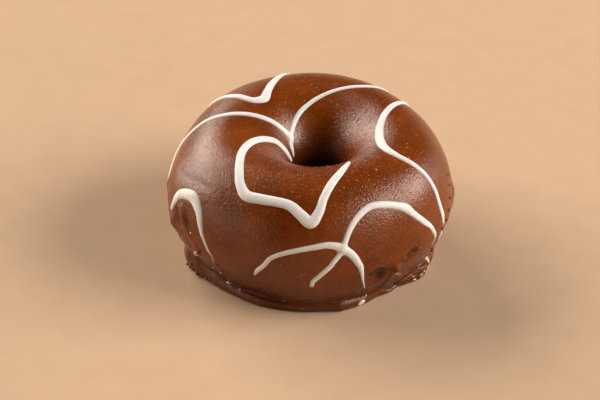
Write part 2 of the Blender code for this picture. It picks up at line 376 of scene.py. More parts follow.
def new_group(name: str, inputs: dict[str, object], output: str) -> bpy.types.NodeTree:
    """An empty shader node group with named sockets.

    Args:
        name: The group's name.
        inputs: Each input's name and its first value. The input named Place is a vector.
        output: The name of its output, which is a single value.

    Returns:
        The group's tree, without nodes.
    """
    group = bpy.data.node_groups.new(name, "ShaderNodeTree")
    for label, value in inputs.items():
        kind = "NodeSocketVector" if label == "Place" else "NodeSocketFloat"
        socket = group.interface.new_socket(label, in_out="INPUT", socket_type=kind)
        if kind == "NodeSocketFloat":
            socket.default_value = value
    group.interface.new_socket(output, in_out="OUTPUT", socket_type="NodeSocketFloat")
    return group


def new_material(name: str) -> tuple[bpy.types.Material, Sheet, bpy.types.NodeSocket]:
    """A material with an empty sheet.

    Args:
        name: The material's name.

    Returns:
        The material, its sheet, and the output that gives the place on the object.
    """
    material = bpy.data.materials.new(name)
    material.use_nodes = True
    sheet = Sheet(material.node_tree)
    place = sheet.add("ShaderNodeTexCoord").outputs["Object"]
    return material, sheet, place


@dataclass(frozen=True)
class Ripple:
    """A soft cloudy pattern of one finish."""

    size: float  # of its features, in millimetres
    detail: float  # how many finer layers it has
    bend: float = 0.0  # how far it is distorted
    depth: float = 0.0  # in metres, where it is relief


@dataclass(frozen=True)
class Specks:
    """Round dots strewn over one finish."""

    spacing: float  # in millimetres
    radius: float  # of the largest, in millimetres
    share: float  # of the places that hold a dot
    strength: float = 1.0  # of their colour
    depth: float = 0.0  # in metres, where they are relief


class Effects:
    """The node groups that the finishes share."""

    dot_edge: float = 0.35  # the soft edge of a dot, as a share of the largest radius

    def __init__(self) -> None:
        """Builds both groups once."""
        self.ripple = self.make_ripple()
        self.specks = self.make_specks()

    def make_ripple(self) -> bpy.types.NodeTree:
        """Soft cloudy heights from 0 to 1: noise at a scale of 1 over the size in millimetres.

        Returns:
            The group, with the inputs Place, Size, Detail and Bend and the output Height.
        """
        group = new_group("ripple", {"Place": None, "Size": 1.0, "Detail": 2.0, "Bend": 0.0}, "Height")
        sheet = Sheet(group)
        given = sheet.add("NodeGroupInput").outputs
        noise = sheet.add(
            "ShaderNodeTexNoise",
            Vector=given["Place"],
            Scale=sheet.math("DIVIDE", 1.0 / MM, given["Size"]),
            Detail=given["Detail"],
            Distortion=given["Bend"],
        )
        sheet.add("NodeGroupOutput", Height=noise.outputs[0])
        return group

    def make_specks(self) -> bpy.types.NodeTree:
        """Dots at the points of a Voronoi pattern: (the dot's radius - the distance) over a soft edge.

        Returns:
            The group, with the inputs Place, Spacing, Radius and Share and the output Mask.
        """
        group = new_group("specks", {"Place": None, "Spacing": 2.0, "Radius": 0.1, "Share": 0.5}, "Mask")
        sheet = Sheet(group)
        given = sheet.add("NodeGroupInput").outputs
        scale = sheet.math("DIVIDE", 1.0 / MM, given["Spacing"])
        cells = sheet.add("ShaderNodeTexVoronoi", Vector=given["Place"], Scale=scale)
        chance = sheet.add("ShaderNodeSeparateColor", Color=cells.outputs["Color"]).outputs
        distance = sheet.math("MULTIPLY", cells.outputs["Distance"], given["Spacing"])
        radius = sheet.math("MULTIPLY", given["Radius"], chance[1])
        edge = sheet.math("MULTIPLY", given["Radius"], self.dot_edge)
        dot = sheet.math("DIVIDE", sheet.math("SUBTRACT", radius, distance), edge, clamp=True)
        chosen = sheet.math("LESS_THAN", chance[0], given["Share"])
        sheet.add("NodeGroupOutput", Mask=sheet.math("MULTIPLY", dot, chosen))
        return group

    def rippled(self, sheet: Sheet, place: bpy.types.NodeSocket, ripple: Ripple) -> bpy.types.NodeSocket:
        """Places the ripple group in a material.

        Args:
            sheet: The material's nodes.
            place: The output that gives the place on the object.
            ripple: The values of this pattern.

        Returns:
            Its height.
        """
        values = {"Size": ripple.size, "Detail": ripple.detail, "Bend": ripple.bend}
        return sheet.add("ShaderNodeGroup", node_tree=self.ripple, Place=place, **values).outputs[0]

    def speckled(self, sheet: Sheet, place: bpy.types.NodeSocket, specks: Specks) -> bpy.types.NodeSocket:
        """Places the specks group in a material.

        Args:
            sheet: The material's nodes.
            place: The output that gives the place on the object.
            specks: The values of these dots.

        Returns:
            Their mask.
        """
        values = {"Spacing": specks.spacing, "Radius": specks.radius, "Share": specks.share}
        return sheet.add("ShaderNodeGroup", node_tree=self.specks, Place=place, **values).outputs[0]


@dataclass(frozen=True)
class ChocolateFinish:
    """Satin chocolate: cloudy brown with a fine grain, pale dust, painted shade, and a pitted skin, crinkled
    in places.
    """

    deep: Colour = (0.122, 0.0218, 0.0012)
    warm: Colour = (0.210, 0.0412, 0.0020)
    # The colour of the painted shade in hollows, low on the wall and in the throat.
    painted_shade_colour: Colour = (0.042, 0.0062, 0.0006)
    dust: Colour = (0.74, 0.38, 0.17)
    painted_shade_share: float = 0.85  # how much of the painted shade colour shows where the mesh holds painted shade
    gloss: float = 0.55  # the shader's specular level
    glint: Colour = (1.0, 0.86, 0.73)  # the tint of its reflections
    roughness: Pair = (0.14, 0.25)
    dullness: float = 0.14  # how much rougher it is where the mesh says dull
    bloom: float = 0.14  # how much rougher it is where the skin is crinkled
    contrast: Pair = (0.38, 0.62)  # the middle part of the patterns, which is spread over the whole range
    clouds: Ripple = Ripple(9.0, 2.0, 0.4)
    streaks: Ripple = Ripple(2.2, 3.0, 0.8)
    grain: Ripple = Ripple(0.44, 3.0, 0.2, 0.080 * MM)
    grit: Ripple = Ripple(0.20, 1.0, 0.0, 0.055 * MM)
    wrinkles: Ripple = Ripple(0.62, 4.0, 0.3, 0.120 * MM)
    shade_shares: Triple = (0.45, 0.22, 0.33)  # of the clouds, the streaks and the grain in the colour
    rough_shares: Pair = (0.4, 0.6)  # of the streaks and the grain in the roughness
    pits: Specks = Specks(0.80, 0.18, 0.6, depth=0.100 * MM)
    pit_ground: float = 0.5  # how deep the pits are on smooth skin, as a share
    dust_layers: tuple[Specks, ...] = (
        Specks(0.46, 0.13, 0.55, 0.50),
        Specks(0.70, 0.18, 0.58, 0.65),
        Specks(1.60, 0.25, 0.50, 0.90),
    )

    def build(self, effects: Effects) -> bpy.types.Material:
        """Makes the material, which reads the mesh's values named crinkle, dusty, dull and painted_shade, the
        last a painted shade.

        Args:
            effects: The shared node groups.

        Returns:
            The material.
        """
        material, sheet, place = new_material("chocolate_coat")
        crinkled = sheet.painted("crinkle")
        clouds, streaks, grain, grit, wrinkles = (
            effects.rippled(sheet, place, ripple)
            for ripple in (self.clouds, self.streaks, self.grain, self.grit, self.wrinkles)
        )
        shade = sheet.weighted(*zip((clouds, streaks, grain), self.shade_shares, strict=True))
        colour = sheet.blend(sheet.span(shade, self.contrast), self.deep, self.warm)
        # Painted shade: the chocolate is darker in hollows, low on the wall and in the throat.
        painted_shade_share = sheet.math("MULTIPLY", sheet.painted("painted_shade"), self.painted_shade_share)
        colour = sheet.blend(painted_shade_share, colour, self.painted_shade_colour)
        dusty = sheet.painted("dusty")
        for layer in self.dust_layers:
            strength = sheet.math("MULTIPLY", dusty, layer.strength)
            specks = sheet.math("MULTIPLY", effects.speckled(sheet, place, layer), strength)
            colour = sheet.blend(specks, colour, self.dust)
        skin = sheet.bump(sheet.math("MULTIPLY", wrinkles, crinkled), self.wrinkles.depth)
        pit_share = sheet.math("SUBTRACT", -self.pit_ground, crinkled)
        pits = sheet.math("MULTIPLY", effects.speckled(sheet, place, self.pits), pit_share)
        skin = sheet.bump(pits, self.pits.depth, skin)
        skin = sheet.bump(grain, self.grain.depth, skin)
        skin = sheet.bump(grit, self.grit.depth, skin)
        rough = sheet.weighted(*zip((streaks, grain), self.rough_shares, strict=True))
        rough = sheet.span(rough, self.contrast, self.roughness)
        extra = ((sheet.painted("dull"), self.dullness), (crinkled, self.bloom))
        sheet.surface(
            Base_Color=colour,
            Roughness=sheet.weighted((rough, 1.0), *extra),
            Normal=skin,
            Specular_IOR_Level=self.gloss,
            Specular_Tint=self.glint,
        )
        return material


@dataclass(frozen=True)
class IcingFinish:
    """White icing set smooth: a soft gloss, and warmer where it runs thin over the chocolate."""

    full: Colour = (0.79, 0.755, 0.712)
    cloudy: Colour = (0.76, 0.725, 0.680)
    thin: Colour = (0.50, 0.34, 0.27)
    thinness: float = 0.8  # how much of the thin colour shows at an edge
    gloss: float = 0.35  # the shader's specular level
    roughness: Pair = (0.38, 0.5)
    clouds: Ripple = Ripple(2.4, 2.0, 0.3)
    cloud_contrast: Pair = (0.35, 0.65)
    grain: Ripple = Ripple(0.7, 2.0, depth=0.015 * MM)
    grain_contrast: Pair = (0.3, 0.7)
    glow: float = 0.6  # the share of light that goes in and comes out again
    glow_reach: float = 0.8 * MM
    glow_colours: Triple = (1.0, 0.75, 0.5)  # how far red, green and blue go, as shares of the reach

    def build(self, effects: Effects) -> bpy.types.Material:
        """Makes the material, which reads the mesh's value named thinness.

        Args:
            effects: The shared node groups.

        Returns:
            The material.
        """
        material, sheet, place = new_material("white_icing")
        clouds = effects.rippled(sheet, place, self.clouds)
        colour = sheet.blend(sheet.span(clouds, self.cloud_contrast), self.full, self.cloudy)
        thin = sheet.math("MULTIPLY", sheet.painted("thinness"), self.thinness)
        grain = effects.rippled(sheet, place, self.grain)
        sheet.surface(
            Base_Color=sheet.blend(thin, colour, self.thin),
            Roughness=sheet.span(grain, self.grain_contrast, self.roughness),
            Subsurface_Weight=self.glow,
            Subsurface_Scale=self.glow_reach,
            Subsurface_Radius=self.glow_colours,
            Specular_IOR_Level=self.gloss,
            Normal=sheet.bump(grain, self.grain.depth),
        )
        return material


@dataclass(frozen=True)
class CrumbFinish:
    """Dry cake: two tones in patches, matt and grainy."""

    name: str
    pale: Colour
    dark: Colour
    roughness: Pair = (0.5, 0.75)
    patches: Ripple = Ripple(0.35, 3.0, 0.5)
    tone_contrast: Pair = (0.4, 0.6)
    rough_contrast: Pair = (0.3, 0.7)
    grain: Ripple = Ripple(0.18, 2.0, depth=0.03 * MM)

    def build(self, effects: Effects) -> bpy.types.Material:
        """Makes the material.

        Args:
            effects: The shared node groups.

        Returns:
            The material.
        """
        material, sheet, place = new_material(self.name)
        patches = effects.rippled(sheet, place, self.patches)
        sheet.surface(
            Base_Color=sheet.blend(sheet.span(patches, self.tone_contrast), self.pale, self.dark),
            Roughness=sheet.span(patches, self.rough_contrast, self.roughness),
            Normal=sheet.bump(effects.rippled(sheet, place, self.grain), self.grain.depth),
        )
        return material


@dataclass(frozen=True)
class PaperFinish:
    """Pale beige backdrop paper with a faint mottle."""

    pale: Colour = (0.556, 0.372, 0.232)
    dark: Colour = (0.532, 0.354, 0.220)
    roughness: float = 0.85
    gloss: float = 0.2  # the shader's specular level
    mottle: Ripple = Ripple(7.0, 3.0)
    contrast: Pair = (0.3, 0.7)
    tooth: Ripple = Ripple(0.5, 2.0, depth=0.02 * MM)

    def build(self, effects: Effects) -> bpy.types.Material:
        """Makes the material.

        Args:
            effects: The shared node groups.

        Returns:
            The material.
        """
        material, sheet, place = new_material("beige_paper")
        mottle = effects.rippled(sheet, place, self.mottle)
        sheet.surface(
            Base_Color=sheet.blend(sheet.span(mottle, self.contrast), self.pale, self.dark),
            Roughness=self.roughness,
            Specular_IOR_Level=self.gloss,
            Normal=sheet.bump(effects.rippled(sheet, place, self.tooth), self.tooth.depth),
        )
        return material


@dataclass(frozen=True)
class Coat:
    """The chocolate coat. Its fields repeat the solid's sizes, and add the finer relief that shows."""

    outer_radius: float = 30.0 * MM
    crown_radius: float = 18.1 * MM
    throat_radius: float = 5.0 * MM
    height: float = 28.0 * MM
    widest_height: float = 13.7 * MM
    inner_flat_radius: float = 9.5 * MM
    tuck_radius: float = 23.8 * MM
    tuck_roundness: float = 1.8
    tuck_fill: Triple = (275.0, 38.0, 1.6 * MM)  # around, half width, extra radius
    foot_reach: float = 27.05 * MM
    foot_bulge: float = 1.15 * MM
    foot_height: float = 2.2 * MM
    foot_widest_share: float = 0.46
    foot_slope: float = 6.0
    crease_softness: Pair = (0.20 * MM, 0.45 * MM)  # round the ring, and at the front
    hole_offset: Pair = (1.8 * MM, -0.6 * MM)
    crown_tilt: Pair = (0.0, 0.6 * MM)
    shift: Pair = (-0.223 * MM, -0.382 * MM)  # centres the box on the origin
    around_length: float = 0.51 * MM  # length of a degree around, on the side wall
    across_length: float = 0.235 * MM  # length of a degree across
    columns: int = 548
    foot_rows: int = 44
    wall_rows: int = 62
    inner_rows: int = 52
    throat_rows: int = 14
    flat_rows: int = 6

    # Seeded unevenness: the depth of each layer, and the layer.
    slow_layers: Layers = ((0.09 * MM, Unevenness(7.5 * MM, 1)), (0.025 * MM, Unevenness(3.1 * MM, 2)))
    knob_layers: Layers = ((0.16 * MM, Unevenness(1.5 * MM, 3)), (0.08 * MM, Unevenness(0.8 * MM, 4)))
    rim_layers: Layers = ((0.13 * MM, Unevenness(2.1 * MM, 5)), (0.10 * MM, Unevenness(0.9 * MM, 6)))
    flat_hollows: Unevenness = Unevenness(4.0 * MM, 8)
    flat_level: float = 0.1  # the seeded height from which the underside is hollow
    flat_depth: float = 0.35 * MM
    # Where the lower wall is knobbly: around, half width, share at the foot's crease, share on the side.
    knobbly: Places = ((352, 24, 0.7, 0.8), (207, 16, 0.5, 0.3), (100, 40, 0.5, 0.0))
    knobbly_crease: Triple = (-62.0, 24.0, 0.25)  # across, half width, share all round
    knobbly_side: Pair = (-12.0, 26.0)  # across, half width
    # Where the foot's rim is ragged: around, half width, extra share.
    ragged: Places = ((212, 7, 2.2), (331, 13, 1.6), (20, 14, 0.9), (95, 20, 0.8))
    ragged_ground: float = 0.35
    # Values for the finish.
    crinkled_ground: float = 0.13
    # Painted shade, which darkens the chocolate: by the hollows' depth, low on the wall, and in the throat.
    painted_shade_hollow: float = 0.7 * MM  # how deep a hollow has to be for the darkest painted shade
    painted_shade_low: Triple = (8.0, 72.0, 0.60)  # from and to, degrees below the widest line, and share
    painted_shade_throat: Pair = (138.0, 175.0)  # across, from and to
    dull_low: Pair = (52.0, 78.0)  # from and to, degrees below the widest line
    flat_values: tuple[float, ...] = (0.3, 0.0, 0.5, 1.0)  # crinkle, dusty, painted shade and dull underneath

    # The outline's waves: how many a turn, amount in mm, and the angle of one crest.
    swells: Places = ((2, 0.34, 109), (3, 0.65, 93), (4, 0.11, 85), (5, 0.3, 60), (6, 0.18, 25))
    # Lobes of the foot: around, half width in degrees, extra reach and extra height in mm.
    foot_lobes: Places = (
        (203, 9, 1.05, 2.4), (214, 12, 0.15, 2.8), (232, 9, -0.2, 0), (283.5, 4.5, 0.55, 0.2),
        (303, 7, -1, 0), (315, 6, -0.95, -0.2), (328, 7, 0.9, 0.9), (341, 6, 0.45, 0.2),
        (20, 9, 0.4, 0.4), (62, 11, -0.4, 0), (96, 8, 0.5, 0.6), (141, 9, 0.35, 0.2), (169, 6, -0.45, 0),
    )  # fmt: skip
    # Bumps and hollows: around, across, height, half length and half width in mm, turn of the length.
    lumps: Places = (
        (204, -9, 0.35, 3.5, 2.6, 0), (208.5, 5, -0.36, 2.6, 1.2, -58), (212.2, 8, 0.26, 3, 0.8, -56),
        (216, 9, -0.16, 2.6, 1, -56), (213, -50, -0.8, 6, 1.2, -36), (314.5, -15, -0.75, 1.3, 0.9, 70),
        (307, -30, 0.7, 1.4, 0.9, 75), (298.7, -30, -1.05, 1.8, 1.4, 40), (311, -62, 0.45, 2.2, 1.1, 0),
        (272.5, -33, 0.5, 1.1, 0.8, -50), (350, 5, 0.35, 1.8, 2, 0), (340, -29, -0.35, 2.4, 1.7, 0),
        (188, 10.5, 0.3, 1.2, 1.5, 0), (75, -25, 0.5, 3.5, 2, 10), (110, -38, -0.5, 3.2, 1.3, -10),
        (140, -15, 0.35, 3, 3, 0),
    )  # fmt: skip
    # Finer bumps and pits, in the same terms.
    small_lumps: Places = (
        (312.2, -19.5, -1, 0.8, 0.5, 75), (309.6, -19.5, 0.26, 0.8, 0.45, 70),
        (318.5, -9, 0.14, 1.3, 0.4, 60), (310.4, -24.5, -0.75, 0.7, 0.5, 60),
        (306.2, -32, 0.8, 1.1, 0.6, 85), (309.6, -48, 0.3, 0.45, 0.4, 0),
        (294.6, -29, -0.9, 0.8, 0.6, 20), (299.8, -40, -1, 1.3, 0.75, 60),
        (296.4, -31.5, 0.12, 0.3, 0.3, 0), (294.9, -30, 0.12, 0.3, 0.3, 0),
        (271.8, -29, 0.3, 0.6, 0.45, -55), (273.6, -41, 0.15, 0.7, 0.35, -50),
        (220, -29.5, 0.28, 0.8, 0.6, 0), (216, -20, -0.22, 1.2, 0.6, -70),
        (230.6, -33.5, -0.55, 0.5, 0.38, 0), (230.5, -46, 0.3, 0.6, 0.5, 0),
        (205.5, -3, 0.42, 2.4, 1.5, 80), (207.5, -77, 0.25, 0.9, 0.8, 0), (221, -52, 0.25, 1.4, 0.7, -20),
        (38.6, 124.5, -0.16, 0.36, 0.2, 100), (32.5, 122, -0.15, 0.3, 0.2, 60),
        (35.5, 124.5, 0.1, 0.4, 0.3, 90), (27.6, 123.5, -0.12, 0.32, 0.2, 45),
        (39.5, 119.5, -0.1, 0.25, 0.18, 0), (9, 123.3, -0.1, 0.28, 0.2, 0),
        (323, -70, 0.35, 1.2, 0.5, 10), (330, -72, 0.3, 1.1, 0.45, 25), (309, -80.5, -1.5, 0.9, 0.55, 0),
        (312.5, -82.5, -1.9, 1.1, 0.8, 0), (326, -80, -0.35, 0.8, 0.4, 10), (336, -80, -0.3, 0.7, 0.4, 0),
        (350, 10.6, 0.14, 0.5, 0.5, 0), (347, -6, 0.16, 0.5, 0.6, 0), (64.2, 133.5, -0.1, 0.4, 0.3, 0),
        (55, -35, 0.3, 1.2, 0.6, 30), (82, -48, -0.3, 1.4, 0.6, -20), (118, -20, 0.22, 1, 0.7, 40),
        (152, -40, -0.28, 1.3, 0.6, 15), (12, -36, -0.25, 1, 0.6, 50),
    )  # fmt: skip
    # Folds of the coat: height and half width in mm, then the places along each.
    folds: tuple[tuple[float, float, Places], ...] = (
        (0.38, 0.38, ((209.8, 20), (211.7, 15.5), (213.2, 10), (214.8, 5.5), (216.6, 1), (218.2, -8))),
        (-0.26, 0.4, ((212.6, 16.5), (214.6, 11), (216.4, 7), (218.4, 4))),
        (-0.38, 0.55, ((206.6, 14), (207.4, 8), (208.2, 1), (209.5, -5))),
        (0.2, 0.3, ((217, 14), (217.6, 9), (220.4, 5))),
        (0.22, 0.28, ((217.4, 0.5), (219.6, -10.5), (221.4, -22))),
        (
            -0.42, 0.34,
            ((213, -40), (217.3, -46), (219.9, -50.7), (223.5, -56.4), (226.8, -66.7), (231.5, -73.9)),
        ),
        (-0.26, 0.24, ((228, -70), (239, -74.8), (248, -75.7), (262, -76))),
        (0.1, 0.35, ((234, 3), (237, -6.5), (238.8, -15))),
        (-0.17, 0.85, ((196, 36), (202, 40), (208, 43), (215, 45.5), (222, 46.5))),
        (0.09, 0.8, ((206, 53), (214, 53), (222, 53), (229, 50))),
        (-0.07, 0.2, ((262, -67), (276, -69), (290, -67), (301, -61))),
        (0.06, 0.22, ((268, -59), (280, -62), (293, -59))),
        (-0.06, 0.18, ((256, -76), (270, -77), (285, -75))),
        (0.16, 0.3, ((296, -76), (300, -78.5), (304.5, -79.5), (308.5, -79))),
        (-0.2, 0.25, ((309.5, -70), (310.6, -78), (311.6, -86))),
        (0.22, 0.28, ((320, -66), (324.5, -71), (329, -73.5), (334, -72))),
        (-0.22, 0.25, ((322, -76), (326, -79), (331, -80))),
        (0.4, 0.45, ((306.8, -36), (305.4, -48), (303.6, -60), (300, -72), (296, -78))),
        (0.16, 0.35, ((88, -30), (93, -44), (95, -58))),
        (-0.18, 0.35, ((126, -28), (129, -42), (135, -55))),
        (0.15, 0.3, ((30, -40), (34, -52), (41, -60))),
    )  # fmt: skip
    # Where the skin is crinkled: around, across, half width in mm, strength.
    crinkled: Places = (
        (297, 30, 4.2, 0.9), (314, 50, 3.8, 0.8), (300, 12, 3.5, 0.5), (212, 48, 5, 0.35),
        (226, 32, 5, 0.6), (172, 70, 5, 0.35), (24, 120, 4.5, 0.65), (350, 120, 4, 0.35),
        (130, 125, 4, 0.4), (75, 40, 5, 0.5), (110, 20, 5, 0.6), (45, -10, 5, 0.5),
    )  # fmt: skip

    def hole_distance(self, radius: Array) -> Array:
        """A share that is 0 at the throat and 1 at the widest line."""
        return np.clip((radius - self.throat_radius) / (self.outer_radius - self.throat_radius), 0.0, 1.0)

    def swollen(self, around: Array, radius: Array) -> Array:
        """The radius with the outline's waves, each a cosine that fades towards the hole."""
        waves = ((size * MM, np.radians(count * (around - crest))) for count, size, crest in self.swells)
        return radius + sum(size * np.cos(turn) for size, turn in waves) * self.hole_distance(radius)

    def ragged_reach(self, around: Array) -> Array:
        """Small seeded steps of the foot's reach, deepest beside the two lobes that broke.

        Args:
            around: Angles about the axis.

        Returns:
            The extra reach in metres.
        """
        turn = np.radians(around)
        rim = np.stack([np.cos(turn), np.sin(turn), 0.0 * turn], axis=-1) * self.foot_reach
        extra = sum(size * hump_around(around, centre, half) for centre, half, size in self.ragged)
        return layered(self.rim_layers, rim) * (self.ragged_ground + extra)

    def foot_radius(self, around: Array, height: Array) -> Array:
        """The foot's radius: its reach less a round bead up to its top, and a steep slope inwards above it.

        Args:
            around: Angles about the axis.
            height: Heights above the underside.

        Returns:
            The radius at each place.
        """
        reach = self.foot_reach + self.ragged_reach(around)
        top = np.full_like(around, self.foot_height)
        for centre, half_width, extra_reach, extra_height in self.foot_lobes:
            near = hump_around(around, centre, half_width) * MM
            reach = reach + extra_reach * near
            top = top + extra_height * near
        middle = self.foot_widest_share * top
        half_height = top - middle
        climb = np.abs(height - middle) / half_height
        bead = self.foot_bulge * np.sqrt(np.clip(1.0 - climb**2, 0.0, None))
        inwards = self.foot_slope * half_height * np.clip(climb - 1.0, 0.0, None)
        return reach - self.foot_bulge + bead - inwards

    def lower_wall_radius(self, around: Array, height: Array) -> Array:
        """The larger of the wall's and the foot's radius, eased together where they are near.

        Args:
            around: Angles about the axis.
            height: Heights above the underside.

        Returns:
            The radius at each place.
        """
        drop = 1.0 - height / self.widest_height
        centre, half_width, extra = self.tuck_fill
        front = hump_around(around, centre, half_width)
        tuck = self.tuck_radius + extra * front
        inwards = (self.outer_radius - tuck) * drop**self.tuck_roundness
        wall = self.swollen(around, self.outer_radius - inwards)
        foot = self.foot_radius(around, height)
        sharp, soft = self.crease_softness
        ease_width = sharp + (soft - sharp) * front
        return 0.5 * (wall + foot + np.sqrt((wall - foot) ** 2 + ease_width**2))

    def section_point(self, around: Array, across: Array) -> tuple[Array, Array]:
        """The smooth section: quarter ellipses above the widest line and in the throat, wall and foot below.

        Args:
            around: Angles about the axis.
            across: Angles over the section.

        Returns:
            The radius and the height at each place.
        """
        cosine = np.abs(np.cos(np.radians(across)))
        sine = np.abs(np.sin(np.radians(across)))
        outer = self.swollen(around, self.crown_radius + (self.outer_radius - self.crown_radius) * cosine)
        inner = self.swollen(around, self.crown_radius - (self.crown_radius - self.throat_radius) * cosine)
        throat = self.inner_flat_radius - (self.inner_flat_radius - self.throat_radius) * cosine
        upper_height = self.widest_height + (self.height - self.widest_height) * sine
        throat_height = self.widest_height * (1.0 - sine)
        low_height = self.widest_height * (1.0 + np.minimum(across, 0.0) / 90.0)
        radius = np.select(
            [across < 0.0, across <= 90.0, across <= 180.0],
            [self.lower_wall_radius(around, low_height), outer, inner],
            throat,
        )
        height = np.select([across < 0.0, across <= 180.0], [low_height, upper_height], throat_height)
        return radius, height

    def set_out(self, around: Array, radius: Array, height: Array) -> Array:
        """Points from their radius and height: the hole is shifted sideways and the crown tilts.

        Args:
            around: Angles about the axis.
            radius: Distances from the axis.
            height: Heights above the underside.

        Returns:
            Positions in metres, xyz along the last axis.
        """
        inwards = 1.0 - self.hole_distance(radius)
        turn = np.radians(around)
        tilt = (self.crown_tilt[0] * np.cos(turn) + self.crown_tilt[1] * np.sin(turn)) / self.height
        right = radius * np.cos(turn) + self.hole_offset[0] * inwards + self.shift[0]
        back = radius * np.sin(turn) + self.hole_offset[1] * inwards + self.shift[1]
        return np.stack([right, back, height * (1.0 + tilt)], axis=-1)

    def smooth_point(self, around: Array, across: Array) -> Array:
        """The coat before its relief."""
        return self.set_out(around, *self.section_point(around, across))

    def normal(self, around: Array, across: Array) -> Array:
        """The outward direction: the cross product of the steps half a degree along and across.

        Args:
            around: Angles about the axis.
            across: Angles over the section.

        Returns:
            A direction of length one at each place.
        """
        small = 0.5
        along = self.smooth_point(around + small, across) - self.smooth_point(around - small, across)
        upper = self.smooth_point(around, np.minimum(across + small, 270.0))
        lower = self.smooth_point(around, np.maximum(across - small, -90.0))
        return unit(np.cross(along, upper - lower))

    def offsets(self, around: Array, across: Array, centre: Sequence[float]) -> tuple[Array, Array]:
        """How far places lie sideways and upwards of a centre, over the side wall, in metres."""
        sideways = degrees_between(around, centre[0]) * self.around_length
        return sideways, (across - centre[1]) * self.across_length

    def lump_height(self, around: Array, across: Array) -> Array:
        """The sum of the bumps and hollows, each a turned hump exp(-(l/a)^2 - (w/b)^2).

        Args:
            around: Angles about the axis.
            across: Angles over the section.

        Returns:
            The height in metres at each place.
        """
        total = np.zeros_like(around)
        for *centre, height, half_length, half_width, turn in self.lumps + self.small_lumps:
            sideways, upwards = self.offsets(around, across, centre)
            cosine, sine = np.cos(np.radians(turn)), np.sin(np.radians(turn))
            lengthwise = (sideways * cosine + upwards * sine) / (half_length * MM)
            widthwise = (upwards * cosine - sideways * sine) / (half_width * MM)
            total = total + height * MM * hump(lengthwise, widthwise)
        return total

    def fold_height(self, around: Array, across: Array) -> Array:
        """The sum of the folds: a hump over the distance to the fold's line, which eases out at both ends.

        Args:
            around: Angles about the axis.
            across: Angles over the section.

        Returns:
            The height in metres at each place.
        """
        total = np.zeros_like(around)
        for height, half_width, places in self.folds:
            best = np.zeros_like(around)
            for index, (start, end) in enumerate(itertools.pairwise(places)):
                right, up = self.offsets(around, across, start)
                run_right = (end[0] - start[0]) * self.around_length
                run_up = (end[1] - start[1]) * self.across_length
                share = np.clip((right * run_right + up * run_up) / (run_right**2 + run_up**2), 0.0, 1.0)
                distance = np.hypot(right - share * run_right, up - share * run_up)
                along = (index + share) / (len(places) - 1)
                fade = np.sqrt(np.clip(4.0 * along * (1.0 - along), 0.0, 1.0))
                best = np.maximum(best, fade * hump(distance / (half_width * MM)))
            total = total + height * MM * best
        return total

    def crinkle(self, around: Array, across: Array) -> Array:
        """How crinkled the skin is, from 0 to 1: a faint ground, and a hump at each named patch.

        Args:
            around: Angles about the axis.
            across: Angles over the section.

        Returns:
            The share at each place.
        """
        total = np.full_like(around, self.crinkled_ground)
        for *centre, half_width, strength in self.crinkled:
            sideways, upwards = self.offsets(around, across, centre)
            total = total + strength * hump(sideways / (half_width * MM), upwards / (half_width * MM))
        return np.clip(total, 0.0, 1.0)

    def thickness(self, around: Array, across: Array) -> Array:
        """How much painted shade darkens the coat, from 0 to 1: by the hollows' depth, low on the wall, and
        in the throat.

        Args:
            around: Angles about the axis.
            across: Angles over the section.

        Returns:
            The share at each place.
        """
        relief = self.lump_height(around, across) + self.fold_height(around, across)
        hollow = np.clip(-relief / self.painted_shade_hollow, 0.0, 1.0)
        start, end, share = self.painted_shade_low
        wall = np.clip(hollow + share * ease(-across, start, end), 0.0, 1.0)
        return np.where(across <= 90.0, wall, ease(across, *self.painted_shade_throat))

    def roughness_band(self, around: Array, across: Array) -> Array:
        """Where the lower wall is knobbly: a hump about the foot's crease, and wider ones at named sides.

        Args:
            around: Angles about the axis.
            across: Angles over the section.

        Returns:
            The share at each place.
        """
        crease, half_width, ground = self.knobbly_crease
        low = hump((across - crease) / half_width)
        side = hump((across - self.knobbly_side[0]) / self.knobbly_side[1])
        total = ground * low
        for centre, half_width, low_share, side_share in self.knobbly:
            total = total + hump_around(around, centre, half_width) * (low_share * low + side_share * side)
        return total

    def point(self, around: Array, across: Array) -> Array:
        """The finished coat: the smooth one, lifted along its normal by all of its relief.

        Args:
            around: Angles about the axis.
            across: Angles over the section.

        Returns:
            Positions in metres, xyz along the last axis.
        """
        smooth = self.smooth_point(around, across)
        lift = layered(self.slow_layers, smooth)
        lift = lift + layered(self.knob_layers, smooth) * self.roughness_band(around, across)
        lift = lift + self.lump_height(around, across) + self.fold_height(around, across)
        lift = lift * np.clip(smooth[..., 2] / self.foot_height, 0.0, 1.0)
        return smooth + lift[..., None] * self.normal(around, across)

    def even_rows(self, start: float, stop: float, count: int) -> Array:
        """Angles across that cut the front section into equal lengths.

        Args:
            start: The first angle.
            stop: The last one, which is left out.
            count: How many lengths there are.

        Returns:
            The angles.
        """
        fine = np.linspace(start, stop, 400)
        points = self.smooth_point(np.full_like(fine, 270.0), fine)
        length = running_length(points)
        return np.interp(np.linspace(0.0, length[-1], count + 1)[:-1], length, fine)

    def underside(self, around: Array) -> Array:
        """The flat underside from its inner to its outer edge, with shallow seeded hollows.

        Args:
            around: The columns' angles.

        Returns:
            Positions in metres, one row of points a column.
        """
        share = (np.arange(self.flat_rows) + 1.0) / (self.flat_rows + 1.0)
        outer, _ = self.section_point(around, np.full_like(around, -90.0))
        radius = self.inner_flat_radius + share[None, :] * (outer[:, None] - self.inner_flat_radius)
        angle = np.broadcast_to(around[:, None], radius.shape)
        points = self.set_out(angle, radius, np.zeros_like(radius))
        points[..., 2] = self.flat_depth * np.clip(self.flat_hollows.at(points) - self.flat_level, 0.0, None)
        return points

